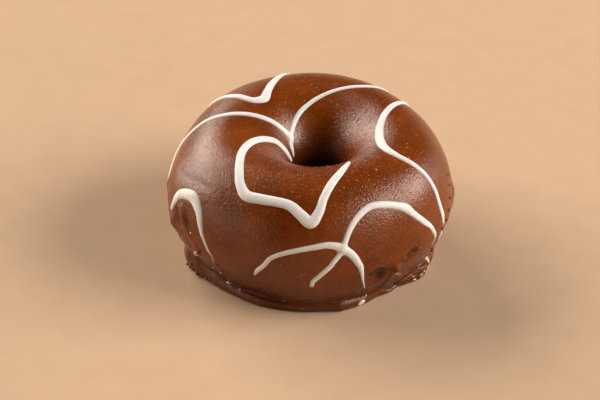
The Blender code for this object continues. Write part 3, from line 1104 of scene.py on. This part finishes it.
    def build(self, finish: bpy.types.Material, dusting: "Dusting") -> bpy.types.Object:
        """Makes the closed ring: a grid of around by across, whose last row and column meet the first.

        Args:
            finish: The chocolate.
            dusting: Where the dust lies.

        Returns:
            The ring, with the values crinkle, dusty, painted shade and dull at each vertex.
        """
        around = 360.0 * np.arange(self.columns) / self.columns
        spans = (
            (-90.0, -45.0, self.foot_rows),
            (-45.0, 90.0, self.wall_rows),
            (90.0, 180.0, self.inner_rows),
            (180.0, 270.0, self.throat_rows),
        )
        across = np.concatenate([*(self.even_rows(*span) for span in spans), [270.0]])
        turn, over = np.meshgrid(around, across, indexing="ij")
        points = np.concatenate([self.point(turn, over), self.underside(around)], axis=1)
        cell = np.arange(points.size // 3).reshape(points.shape[:2])
        along = np.roll(cell, -1, axis=0)
        faces = np.stack([cell, along, np.roll(along, -1, axis=1), np.roll(cell, -1, axis=1)], axis=-1)
        piece = make_piece("coat", points.reshape(-1, 3), [faces.reshape(-1, 4)], finish)
        layers = {
            "crinkle": self.crinkle(turn, over),
            "dusty": dusting.share(turn, over),
            # The painted shade: darker chocolate in hollows, low on the wall and in the throat.
            "painted_shade": self.thickness(turn, over),
            "dull": ease(-over, *self.dull_low),
        }
        for (name, values), below in zip(layers.items(), self.flat_values, strict=True):
            flat = np.full((self.columns, self.flat_rows), below)
            paint(piece, name, np.concatenate([values, flat], axis=1))
        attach(piece, BODY)
        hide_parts(NODE)
        return piece


# The lines of icing: around, across, and the bead's width in mm.
BACK_LEFT_BEND: Places = (
    (138, -8, 0.7), (140, 14, 0.9), (142.5, 36, 1.1), (144.5, 52, 1.25), (144, 66, 1.4), (143.5, 82, 1.7),
    (141.5, 98, 1.9), (134, 102, 2.2), (126.5, 96.5, 1.8), (116.5, 85, 1.7), (106.5, 68, 1.5),
    (100, 50, 1.4), (92, 28, 1.3), (80, 17, 1.2), (68, 20, 1.1), (60, 31, 1), (54, 42, 0.9),
)  # fmt: skip
LEFT_ARC: Places = (
    (182, -9, 0.6), (184.5, 1, 0.8), (185.5, 9, 0.9), (184, 15, 1), (180, 22, 1.1), (175.5, 33, 1.2),
    (174, 46.5, 1.3), (170.5, 64, 1.3), (165.5, 88, 1.3), (158.5, 106.5, 1.3), (147.5, 127, 1.3),
    (141.5, 139, 1.3), (139, 146, 1.4),
)  # fmt: skip
BACK_ARC: Places = (
    (149.5, 159.5, 0.45), (147.3, 155.5, 0.8), (145.5, 151, 1.1), (141, 146, 1.35), (128.5, 138.5, 1.2),
    (111, 128, 1.1), (94, 118.5, 1), (78.5, 108, 1), (65, 96, 1.1), (56, 84, 1.2), (50.5, 68, 1.2),
    (49, 48, 1.1), (46, 30, 0.8), (45, 16, 0.6),
)  # fmt: skip
HEART_LOOP: Places = (
    (163, 160, 0.8), (165, 155.5, 1.2), (168.5, 146, 1.4), (172.5, 136.5, 1.5), (181, 128, 1.65),
    (195, 114.5, 1.7), (208.5, 100.5, 1.7), (219.5, 86.5, 1.75), (227.5, 73, 1.85), (233.5, 61, 2),
    (238.5, 54, 2.25), (246, 54.5, 2.15), (254, 55.5, 2), (260.5, 54, 2.05), (266, 46.5, 2.2),
    (270.3, 40, 2.35), (273.5, 48.5, 1.9), (276, 62.5, 1.65), (280.5, 77.5, 1.7), (287, 91, 1.6),
    (293, 100.5, 1.45), (300, 110, 0.9),
)  # fmt: skip
RIGHT_BEND: Places = (
    (37, 10, 0.7), (36, 35, 1), (32, 58, 1.2), (28.5, 75, 1.3), (25, 87.5, 1.4), (14, 104.5, 1.6),
    (2, 111, 1.9), (-11, 111.5, 1.95), (-21, 107, 1.85), (-29, 97, 1.7), (-32, 82.5, 1.45),
    (-31, 69, 1.35), (-29, 51, 1.1), (-28.5, 34.5, 1.1), (-28.5, 19.5, 1.15), (-27, 3.5, 1.1),
    (-26.5, -7, 0.5),
)  # fmt: skip
RIGHT_DAB: Places = ((333.5, -17, 0.5), (333.7, -22, 0.9), (334.5, -30, 0.9), (335, -37, 0.5))
RIGHT_FRONT_ARC: Places = (
    (283, 15, 1.3), (284, 21.5, 1.25), (286.5, 32, 1.25), (291, 41.5, 1.35), (297, 46.5, 1.4),
    (304, 44, 1.5), (309.5, 39, 1.6), (312.7, 34.5, 1.9), (315.5, 27, 1.5), (320.5, 14.5, 1.3),
    (324, 6, 1.05), (326.5, -4.5, 0.95), (328, -17.5, 0.6), (327, -28, 0.4),
)  # fmt: skip
FRONT_ARM: Places = (
    (248, -26, 0.5), (249.2, -18.5, 0.9), (252, -6.5, 1), (254.5, 4, 1), (259.5, 11.5, 1.05),
    (265.5, 16, 1.15), (272, 19, 1.25), (277, 20.3, 1.4), (280, 19, 1.6), (283, 15.5, 1.8),
    (285.8, 10.5, 1.7), (288.2, 3.5, 1.55), (290, -6.5, 1.3), (291, -20.5, 0.9), (292, -37.5, 0.6),
    (293.5, -54.5, 0.4),
)  # fmt: skip
FRONT_BRANCH: Places = (
    (283, 14, 1.3), (280.5, 7.5, 1.2), (278.5, 2, 1.15), (276, -6.5, 1.2), (273.5, -16, 1.15),
    (271.7, -23, 1.1), (270.8, -31, 0.8),
)  # fmt: skip
LEFT_HOOK: Places = (
    (203.3, 8, 1.2), (203.7, 11.5, 1.2), (204.6, 17, 1.6), (206.5, 24.5, 2), (210.5, 30.2, 2.2),
    (216, 32, 2.5), (219, 28, 2.2), (221.5, 22, 1.8), (223, 14, 1.45), (224.5, 6, 1.05), (226, -1, 0.8),
    (227, -11, 0.75), (228.3, -21, 0.5), (228, -34.5, 0.35),
)  # fmt: skip


class Run(Enum):
    """The runs of icing that are each one piece, with the lines that join in it."""

    BACK_BEND = (BACK_LEFT_BEND,)
    HEART = (LEFT_ARC, BACK_ARC, HEART_LOOP)
    RIGHT_BEND = (RIGHT_BEND,)
    RIGHT_DAB = (RIGHT_DAB,)
    FRONT_FORK = (RIGHT_FRONT_ARC, FRONT_ARM, FRONT_BRANCH)
    LEFT_HOOK = (LEFT_HOOK,)


@dataclass(frozen=True)
class Icing:
    """Beads of icing. Each run is a patch of the coat's surface, lifted by the beads' round caps."""

    coat: Coat
    height_share: float = 0.21  # a bead's height as a share of its width
    flatness: float = 2.6  # the power that makes the bead's top flatter than a circle's
    roundness: float = 0.7  # the power that rounds its shoulders
    edge_slope: float = 1.1
    step: float = 0.45 * MM
    around_cell: float = 0.26
    across_cell: float = 0.55
    margin: float = 18.0  # how far the patch runs past its lines, in degrees
    across_limits: Pair = (-88.0, 240.0)
    reach: float = 2.2 * MM
    join: float = 0.55 * MM
    soften: int = 3  # rounds of averaging that melt the creases of bends and joins
    sunk: float = 0.30 * MM
    kept_depth: float = 0.20 * MM  # how far under the coat the lift may be for a cell to stay
    fill_rounds: int = 4
    away: float = 1.0 * MM  # how far under the coat the lift counts as, away from every line
    thickness: float = 0.18 * MM
    full_lift: float = 0.15 * MM  # the lift from which a bead is as uneven as it gets
    swell: Layers = ((0.08, Unevenness(2.6 * MM, 11)),)  # as shares of the lift
    texture: Layers = ((0.008 * MM, Unevenness(0.9 * MM, 12)),)
    thin_lifts: Pair = (0.01 * MM, 0.13 * MM)  # the lifts at which the icing is thinnest and full

    def samples(self, places: Places) -> tuple[Array, Array]:
        """Even steps along a line.

        Args:
            places: The line's places: around, across, and the bead's width in mm.

        Returns:
            Around, across and width at each step, and the points on the coat.
        """
        knots_at = np.array(places, dtype=float)
        knots = running_length(self.coat.smooth_point(knots_at[:, 0], knots_at[:, 1]))
        count = int(np.ceil(knots[-1] / self.step)) + 1
        rows = smooth_values(knots, knots_at, np.linspace(0.0, knots[-1], count))
        rows[:, 2] *= MM
        return rows, self.coat.point(rows[:, 0], rows[:, 1])

    def cap(self, distance: Array, width: Array) -> Array:
        """A bead's height: h (1 - (2 d / w)^p)^r, and an even slope down outside its edge.

        Args:
            distance: Distances d from the bead's middle line.
            width: Its widths w there.

        Returns:
            The heights in metres.
        """
        inside = 1.0 - np.clip(2.0 * distance / width, 0.0, 1.0) ** self.flatness
        arc = self.height_share * width * inside**self.roundness
        return np.where(distance < 0.5 * width, arc, self.edge_slope * (0.5 * width - distance))

    def line_lift(self, places: Places, around: Array, across: Array, points: Array) -> Array:
        """The highest of the caps over a line's steps, at each point of the grid.

        Args:
            places: The line's places.
            around: The grid's angles around, rising.
            across: The grid's angles across, rising.
            points: The coat's points on that grid.

        Returns:
            The lift in metres, which is under zero away from the line.
        """
        lift = np.full(points.shape[:2], -self.away)
        rows, centres = self.samples(places)
        for (start, end), (a, b) in zip(itertools.pairwise(rows), itertools.pairwise(centres), strict=True):
            spread = np.degrees(self.reach / np.hypot(a[0], a[1]))
            low, high = sorted((start[0], end[0]))
            first, last = np.searchsorted(around, (low - spread, high + spread))
            low, high = sorted((start[1], end[1]))
            spread = self.reach / self.coat.across_length
            bottom, top = np.searchsorted(across, (low - spread, high + spread))
            near = points[first:last, bottom:top]
            share = np.clip(((near - a) @ (b - a)) / ((b - a) @ (b - a)), 0.0, 1.0)
            distance = np.linalg.norm(near - a - share[..., None] * (b - a), axis=-1)
            cap = self.cap(distance, start[2] + share * (end[2] - start[2]))
            lift[first:last, bottom:top] = np.maximum(lift[first:last, bottom:top], cap)
        return lift

    def run_lift(self, run: Run, around: Array, across: Array, points: Array) -> Array:
        """Joins a run's lines: the larger lift, plus (k - |difference|)^2 / 4k where they are within k.

        Args:
            run: The run.
            around: The grid's angles around, rising.
            across: The grid's angles across, rising.
            points: The coat's points on that grid.

        Returns:
            The lift in metres, softened and then slightly uneven.
        """
        total = np.full(points.shape[:2], -2.0 * self.away)
        for places in run.value:
            lift = self.line_lift(places, around, across, points)
            close = np.clip(self.join - np.abs(total - lift), 0.0, None)
            total = np.maximum(total, lift) + close**2 / (4.0 * self.join)
        for _ in range(self.soften):
            total[1:-1] = 0.25 * (total[:-2] + 2.0 * total[1:-1] + total[2:])
            total[:, 1:-1] = 0.25 * (total[:, :-2] + 2.0 * total[:, 1:-1] + total[:, 2:])
        full = ease(total, 0.0, self.full_lift)
        swell = layered(self.swell, points) * full
        texture = layered(self.texture, points) * full
        return np.maximum(total * (1.0 + swell) + texture, -self.sunk)

    def kept_cells(self, lift: Array) -> Array:
        """The cells that the icing needs, with those filled in that would touch at one corner only.

        Args:
            lift: The lift at each corner of the grid.

        Returns:
            Whether each cell is kept.
        """
        high = np.maximum.reduce([lift[:-1, :-1], lift[1:, :-1], lift[:-1, 1:], lift[1:, 1:]])
        kept = high > -self.kept_depth
        kept[[0, -1], :] = False
        kept[:, [0, -1]] = False
        for _ in range(self.fill_rounds):
            one = kept[:-1, :-1] & kept[1:, 1:] & ~kept[1:, :-1] & ~kept[:-1, 1:]
            other = kept[1:, :-1] & kept[:-1, 1:] & ~kept[:-1, :-1] & ~kept[1:, 1:]
            kept[1:, :-1] |= one
            kept[:-1, :-1] |= other
        return kept

    def shell_faces(self, kept: Array, corner: Array, count: int) -> list[Array]:
        """The faces of a closed shell over the kept cells.

        Args:
            kept: Which cells are kept.
            corner: The top vertex number at each corner of the grid.
            count: How many top vertices there are; the bottom ones follow in the same order.

        Returns:
            The top, the bottom turned over, and a wall along each edge that has one kept side.
        """
        a, b = corner[:-1, :-1], corner[1:, :-1]
        c, d = corner[1:, 1:], corner[:-1, 1:]
        top = np.stack([a, b, c, d], axis=-1)[kept]
        faces = [top, top[:, ::-1] + count]
        padded = np.pad(kept, 1)
        sides = (
            (padded[1:-1, :-2], a, b),
            (padded[2:, 1:-1], b, c),
            (padded[1:-1, 2:], c, d),
            (padded[:-2, 1:-1], d, a),
        )
        for beside, start, end in sides:
            edge = kept & ~beside
            start, end = start[edge], end[edge]
            faces.append(np.stack([start, start + count, end + count, end], axis=-1))
        return faces

    def build(self, run: Run, finish: bpy.types.Material) -> bpy.types.Object:
        """Makes one run as a closed shell: the lifted top, walls, and a bottom sunk in the coat.

        Args:
            run: The run.
            finish: The icing.

        Returns:
            The run, with the value thinness at each vertex.
        """
        places = np.array([place[:2] for line in run.value for place in line], dtype=float)
        low, high = places.min(axis=0) - self.margin, places.max(axis=0) + self.margin
        bottom, top = self.across_limits
        around = np.arange(low[0], high[0], self.around_cell)
        across = np.arange(max(low[1], bottom), min(high[1], top), self.across_cell)
        turn, over = np.meshgrid(around, across, indexing="ij")
        points = self.coat.point(turn, over)
        lift = self.run_lift(run, around, across, points)
        kept = self.kept_cells(lift)
        used = np.zeros(points.shape[:2], dtype=bool)
        for right, up in itertools.product((0, 1), repeat=2):
            used[right : right + kept.shape[0], up : up + kept.shape[1]] |= kept
        corner = np.cumsum(used).reshape(used.shape) - 1
        count = int(used.sum())
        normal = self.coat.normal(turn[used], over[used])
        raised = points[used] + lift[used][:, None] * normal
        hidden = points[used] - (self.sunk + self.thickness) * normal
        faces = self.shell_faces(kept, corner, count)
        piece = make_piece("icing_" + run.name.lower(), np.concatenate([raised, hidden]), faces, finish)
        thin = 1.0 - ease(lift[used], *self.thin_lifts)
        paint(piece, "thinness", np.concatenate([thin, np.ones(count)]))
        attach(piece, BODY)
        return piece


class Chip(Enum):
    """The shapes of crumb: width and thickness as shares of the length, and how rough."""

    FLAKE = (0.55, 0.30, 0.45)
    GRAIN = (0.80, 0.65, 0.35)
    KNOB = (0.90, 0.55, 0.20)


@dataclass(frozen=True)
class Crumbs:
    """Crumbs stuck to the coat, in one mesh. Each is a ball with seeded roughness, squashed and turned."""

    name: str
    coat: Coat
    chip: Chip
    places: Places  # around, across, length in mm, turn in degrees
    seed: int
    segments: int = 10
    rings: int = 6
    smooth: bool = False
    sink: float = 0.25
    slot: str = "crumb"
    rough_cell: float = 1.1
    ball_size: float = 1.5  # the ball's radius in the lattice of its roughness
    apart: float = 7.0  # how far from one another the crumbs lie in that lattice
    crinkle: float = 0.3  # how crinkled crumbs of chocolate are

    def ball(self) -> tuple[Array, list[Array]]:
        """A ball of rings and segments with a point at each pole.

        Returns:
            The directions of its vertices, and its faces: quads, then the fans at both poles.
        """
        turn = 2.0 * np.pi * np.arange(self.segments) / self.segments
        rise = np.pi * ((np.arange(self.rings) + 1.0) / (self.rings + 1.0) - 0.5)
        around, up = np.meshgrid(turn, rise)
        rings = np.stack([np.cos(up) * np.cos(around), np.cos(up) * np.sin(around), np.sin(up)], axis=-1)
        poles = np.array([[0.0, 0.0, -1.0], [0.0, 0.0, 1.0]])
        number, quads = ring_numbers(self.rings, self.segments)
        bottom = fan(number[0], number.size)[:, [1, 0, 2]]
        top = fan(number[-1], number.size + 1)
        return np.concatenate([rings.reshape(-1, 3), poles]), [quads, bottom, top]

    def build(self, finish: bpy.types.Material) -> bpy.types.Object:
        """Makes the crumbs: centre + radius x (length, width, thickness) x direction, in the coat's own axes.

        Args:
            finish: The crumbs' material.

        Returns:
            The mesh of all of them.
        """
        rows = np.array(self.places, dtype=float)
        around, across, length, turn = rows.T
        length = length * MM
        width, thickness, rough = self.chip.value
        up = self.coat.normal(around, across)
        centre = self.coat.point(around, across) + (0.5 - self.sink) * (thickness * length)[:, None] * up
        # A little of the normal, its axes swapped, keeps this from failing where the coat faces straight up.
        level = unit(np.cross(np.array([0.0, 0.0, 1.0]) + 0.001 * up[:, ::-1], up))
        over = np.cross(up, level)
        angle = np.radians(turn)[:, None]
        along = np.cos(angle) * level + np.sin(angle) * over
        beside = np.cross(up, along)
        ball, faces = self.ball()
        number = np.arange(len(rows))[:, None, None]
        lattice_place = ball[None] * self.ball_size + number * self.apart
        roughness = Unevenness(self.rough_cell, self.seed).at(lattice_place)
        shape = ball[None] * (1.0 + rough * roughness)[..., None] * (0.5 * length)[:, None, None]
        points = (
            centre[:, None]
            + shape[..., :1] * along[:, None]
            + width * shape[..., 1:2] * beside[:, None]
            + thickness * shape[..., 2:] * up[:, None]
        )
        blocks = [(block[None] + number * len(ball)).reshape(-1, block.shape[1]) for block in faces]
        piece = make_piece(self.name, points.reshape(-1, 3), blocks, finish, self.smooth)
        if self.slot == "chocolate":
            paint(piece, "crinkle", np.full(points.size // 3, self.crinkle))
        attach(piece, BODY)
        return piece


@dataclass(frozen=True)
class Dusting:
    """Where the specks of dust lie: seeded places, more of them in the named drifts."""

    count: int = 5200
    seed: int = 21
    ground: float = 0.12
    across_limits: Pair = (-80.0, 178.0)
    lengths: Pair = (0.08, 0.20)  # the least, and the most on top of it, in mm
    # Drifts: around, across, half width in degrees around and across, share kept.
    drifts: Places = (
        (282, 96, 36, 30, 0.75), (318, 76, 30, 34, 0.55), (222, 44, 22, 28, 0.6), (130, 118, 45, 34, 0.6),
        (15, 118, 40, 30, 0.55), (60, 30, 60, 40, 0.35), (165, 60, 25, 30, 0.45),
    )  # fmt: skip

    def share(self, around: Array, across: Array) -> Array:
        """How dusty the coat is, from 0 to 1: a ground share, and a hump over each drift.

        Args:
            around: Angles about the axis.
            across: Angles over the section.

        Returns:
            The share at each place.
        """
        total = np.full_like(around, self.ground)
        for centre, over, half_around, half_over, extra in self.drifts:
            sideways = degrees_between(around, centre) / half_around
            total = total + extra * hump(sideways, (across - over) / half_over)
        return np.clip(total, 0.0, 1.0)

    def places(self, coat: Coat) -> Places:
        """Draws the places: even over the coat's area, each kept with the share of its drift.

        Args:
            coat: The coat that they lie on.

        Returns:
            Around, across, length in mm and turn of each speck that is kept.
        """
        chance = np.random.default_rng(self.seed)
        around = chance.uniform(0.0, 360.0, self.count)
        across = chance.uniform(*self.across_limits, self.count)
        radius, _ = coat.section_point(around, across)
        share = self.share(around, across) * radius / coat.outer_radius
        kept = chance.uniform(0.0, 1.0, self.count) < share
        least, more = self.lengths
        length = least + more * chance.uniform(0.0, 1.0, self.count) ** 3
        turn = chance.uniform(0.0, 180.0, self.count)
        return tuple(map(tuple, np.stack([around, across, length, turn], axis=1)[kept].tolist()))


def aimed(name: str, data: bpy.types.ID, place: Vector, way: Vector) -> bpy.types.Object:
    """An object in the scene that looks one way.

    Args:
        name: Its name.
        data: The light or camera that it holds.
        place: Where it stands.
        way: The direction that it looks in.

    Returns:
        The object.
    """
    item = bpy.data.objects.new(name, data)
    item.location = place
    item.rotation_euler = way.to_track_quat("-Z", "Y").to_euler()
    bpy.context.scene.collection.objects.link(item)
    return item


@dataclass(frozen=True)
class SoftBox:
    """A rectangular light that faces the doughnut, set by its direction as seen from there."""

    name: str
    azimuth: float  # degrees from +Y, positive towards +X
    elevation: float
    distance: float
    width: float
    height: float
    power: float
    colour: Colour = (1.0, 0.93, 0.86)
    target: Triple = (0.0, 0.0, 0.012)

    def build(self) -> bpy.types.Object:
        """Makes the light.

        Returns:
            The light.
        """
        lamp = bpy.data.lights.new(self.name, "AREA")
        lamp.shape = "RECTANGLE"
        lamp.size, lamp.size_y = self.width, self.height
        lamp.energy = self.power
        lamp.color = self.colour
        turn, rise = np.radians(self.azimuth), np.radians(self.elevation)
        way = Vector((np.sin(turn) * np.cos(rise), np.cos(turn) * np.cos(rise), np.sin(rise)))
        return aimed(self.name, lamp, Vector(self.target) + self.distance * way, -way)


@dataclass(frozen=True)
class Studio:
    """The floor, the lights and the camera."""

    floor_radii: tuple[float, ...] = (0.08, 0.4, 1.6, 4.0)  # in metres, of the rings of its mesh
    floor_segments: int = 48
    camera_at: Triple = (-0.223 * MM, -295.23 * MM, 206.5 * MM)
    aim: Triple = (-2.175 * MM, 4.127 * MM, 6.44 * MM)
    lens: float = 99.8
    sensor: float = 36.0
    nearest: float = 0.02  # the least distance that the camera shows
    room: Colour = (1.0, 0.93, 0.86)
    room_strength: float = 0.010
    lights: tuple[SoftBox, ...] = (
        SoftBox("left_softbox", -53.0, 30.5, 2.4, 2.85, 1.08, 90.0),
        SoftBox("left_card", -64.0, 5.0, 1.6, 0.90, 0.42, 7.0),
        SoftBox("left_side", -114.0, 9.0, 1.6, 0.70, 0.36, 2.8),
        SoftBox("right_softbox", 95.0, 30.0, 1.6, 1.15, 0.68, 36.0, (1.0, 0.96, 0.93)),
        SoftBox("right_card", 58.0, 5.0, 1.6, 0.70, 0.36, 1.7),
        SoftBox("right_side", 142.0, 15.0, 1.6, 0.60, 0.36, 2.0),
        SoftBox("back_card", 5.0, 9.0, 1.6, 1.70, 0.45, 0.5),
        SoftBox("overhead", 0.0, 80.0, 1.6, 1.20, 1.00, 0.3),
    )

    def build_floor(self, finish: bpy.types.Material) -> bpy.types.Object:
        """Makes a flat disc: rings of points about the origin, closed by a fan in the middle.

        Args:
            finish: The paper.

        Returns:
            The floor.
        """
        turn = 2.0 * np.pi * np.arange(self.floor_segments) / self.floor_segments
        ring = np.stack([np.cos(turn), np.sin(turn), np.zeros_like(turn)], axis=-1)
        rings = (np.array(self.floor_radii)[:, None, None] * ring).reshape(-1, 3)
        number, quads = ring_numbers(len(self.floor_radii), self.floor_segments)
        faces = [quads[:, ::-1], fan(number[0], number.size)]
        floor = make_piece("floor", np.concatenate([rings, np.zeros((1, 3))]), faces, finish)
        return floor

    def build_world(self) -> None:
        """Makes a dim room of one colour."""
        world = bpy.data.worlds.new("room")
        world.use_nodes = True
        sheet = Sheet(world.node_tree)
        glow = sheet.add("ShaderNodeBackground", Color=self.room, Strength=self.room_strength)
        sheet.add("ShaderNodeOutputWorld", Surface=glow.outputs[0])
        bpy.context.scene.world = world

    def build_camera(self) -> None:
        """Makes the camera where the photograph was taken from."""
        data = bpy.data.cameras.new("camera")
        data.lens = self.lens
        data.sensor_width = self.sensor
        data.clip_start = self.nearest
        place = Vector(self.camera_at)
        bpy.context.scene.camera = aimed("camera", data, place, Vector(self.aim) - place)

    def build(self, finish: bpy.types.Material) -> None:
        """Makes the whole studio.

        Args:
            finish: The floor's paper.
        """
        self.build_world()
        for light in self.lights:
            light.build()
        self.build_camera()
        report(self.build_floor(finish))


# Crumbs: around, across, length in mm, turn in degrees.
CREAM_CRUMBS: Places = (
    (292.6, -82, 1.6, 20), (334.6, -75, 1.7, 72), (333.6, -84, 1.1, 60), (329.6, -82.5, 0.8, 10),
    (326.4, -81, 0.9, 40), (322.8, -84.5, 0.8, -20), (335.8, -71, 0.8, 80), (230.2, -73.5, 0.85, -30),
    (237, -76, 0.5, -20), (218, 1, 0.75, 60), (52, -72, 0.9, 20), (104, -78, 1.1, -10),
    (147, -70, 0.7, 40), (176, -80, 0.6, 0),
)  # fmt: skip
CHOCOLATE_CRUMBS: Places = (
    (203.7, -85, 0.75, 30), (205.6, -86, 0.6, 0), (209, -84, 0.7, 60), (212, -85.5, 0.85, 20),
    (215.1, -85, 0.6, 70), (217.5, -83.5, 0.75, 0), (219.5, -85, 0.5, 40), (224, -84.5, 0.55, 10),
    (208.5, -75.8, 0.6, 50), (230, -80, 0.45, 0), (226, -66, 0.5, 20), (345, 20, 0.6, 20),
    (342.5, 11, 0.75, 60), (339.5, 3, 0.65, 0), (337, -6, 0.8, 40), (334, -14, 0.6, 80),
    (347.5, 27, 0.5, 0), (331, -44, 0.7, 20), (333.5, -54, 0.8, 60), (325, -84.5, 0.7, 0),
    (318.5, -85, 0.6, 30), (331.5, -85, 0.65, 0), (313, -86, 0.5, 50), (86, -83, 0.7, 10),
    (99, -85, 0.6, 50), (113, -84, 0.75, 0), (20, -84, 0.7, 20),
)  # fmt: skip
ROSY_CRUMBS: Places = (
    (220, -28, 1.25, 35), (226, -47, 0.45, -30), (230.6, -46, 0.6, 0), (209, -18, 0.62, 80),
    (206.8, 33.5, 0.4, 10), (295.4, -76, 0.45, 0), (258.5, -74.5, 0.4, 0), (307, -37.5, 1.15, 80),
    (308.7, -43.9, 0.75, 20), (310.4, -51, 0.6, 70), (322, -79, 0.5, 15), (328, -78, 0.55, 30),
    (341, -78, 0.5, 60), (80, -60, 0.6, 30), (122, -74, 0.7, 10), (160, -55, 0.5, 50),
)  # fmt: skip


def main() -> None:
    """Builds every piece in order, then the studio round them."""
    logging.basicConfig(level=logging.INFO, format="%(name)s: %(message)s")
    effects = Effects()
    chocolate = ChocolateFinish().build(effects)
    icing_finish = IcingFinish().build(effects)
    cream = CrumbFinish("cream_crumb", (0.88, 0.72, 0.52), (0.72, 0.50, 0.32)).build(effects)
    rosy = CrumbFinish("rosy_crumb", (0.82, 0.52, 0.40), (0.55, 0.24, 0.15)).build(effects)
    dust = CrumbFinish("dust", (0.55, 0.32, 0.19), (0.38, 0.19, 0.10)).build(effects)
    coat = Coat()
    dusting = Dusting()
    report(coat.build(chocolate, dusting))
    icing = Icing(coat)
    for run in Run:
        report(icing.build(run, icing_finish))
    report(Crumbs("cream_crumbs", coat, Chip.FLAKE, CREAM_CRUMBS, 31).build(cream))
    chips = Crumbs("chocolate_crumbs", coat, Chip.KNOB, CHOCOLATE_CRUMBS, 34, slot="chocolate")
    report(chips.build(chocolate))
    report(Crumbs("rosy_crumbs", coat, Chip.GRAIN, ROSY_CRUMBS, 32).build(rosy))
    specks = dusting.places(coat)
    report(Crumbs("dust_specks", coat, Chip.GRAIN, specks, 33, segments=5, rings=2, sink=0.1).build(dust))
    Studio().build(PaperFinish().build(effects))
    bpy.context.scene.view_settings.view_transform = "Standard"


if __name__ == "__main__":
    main()
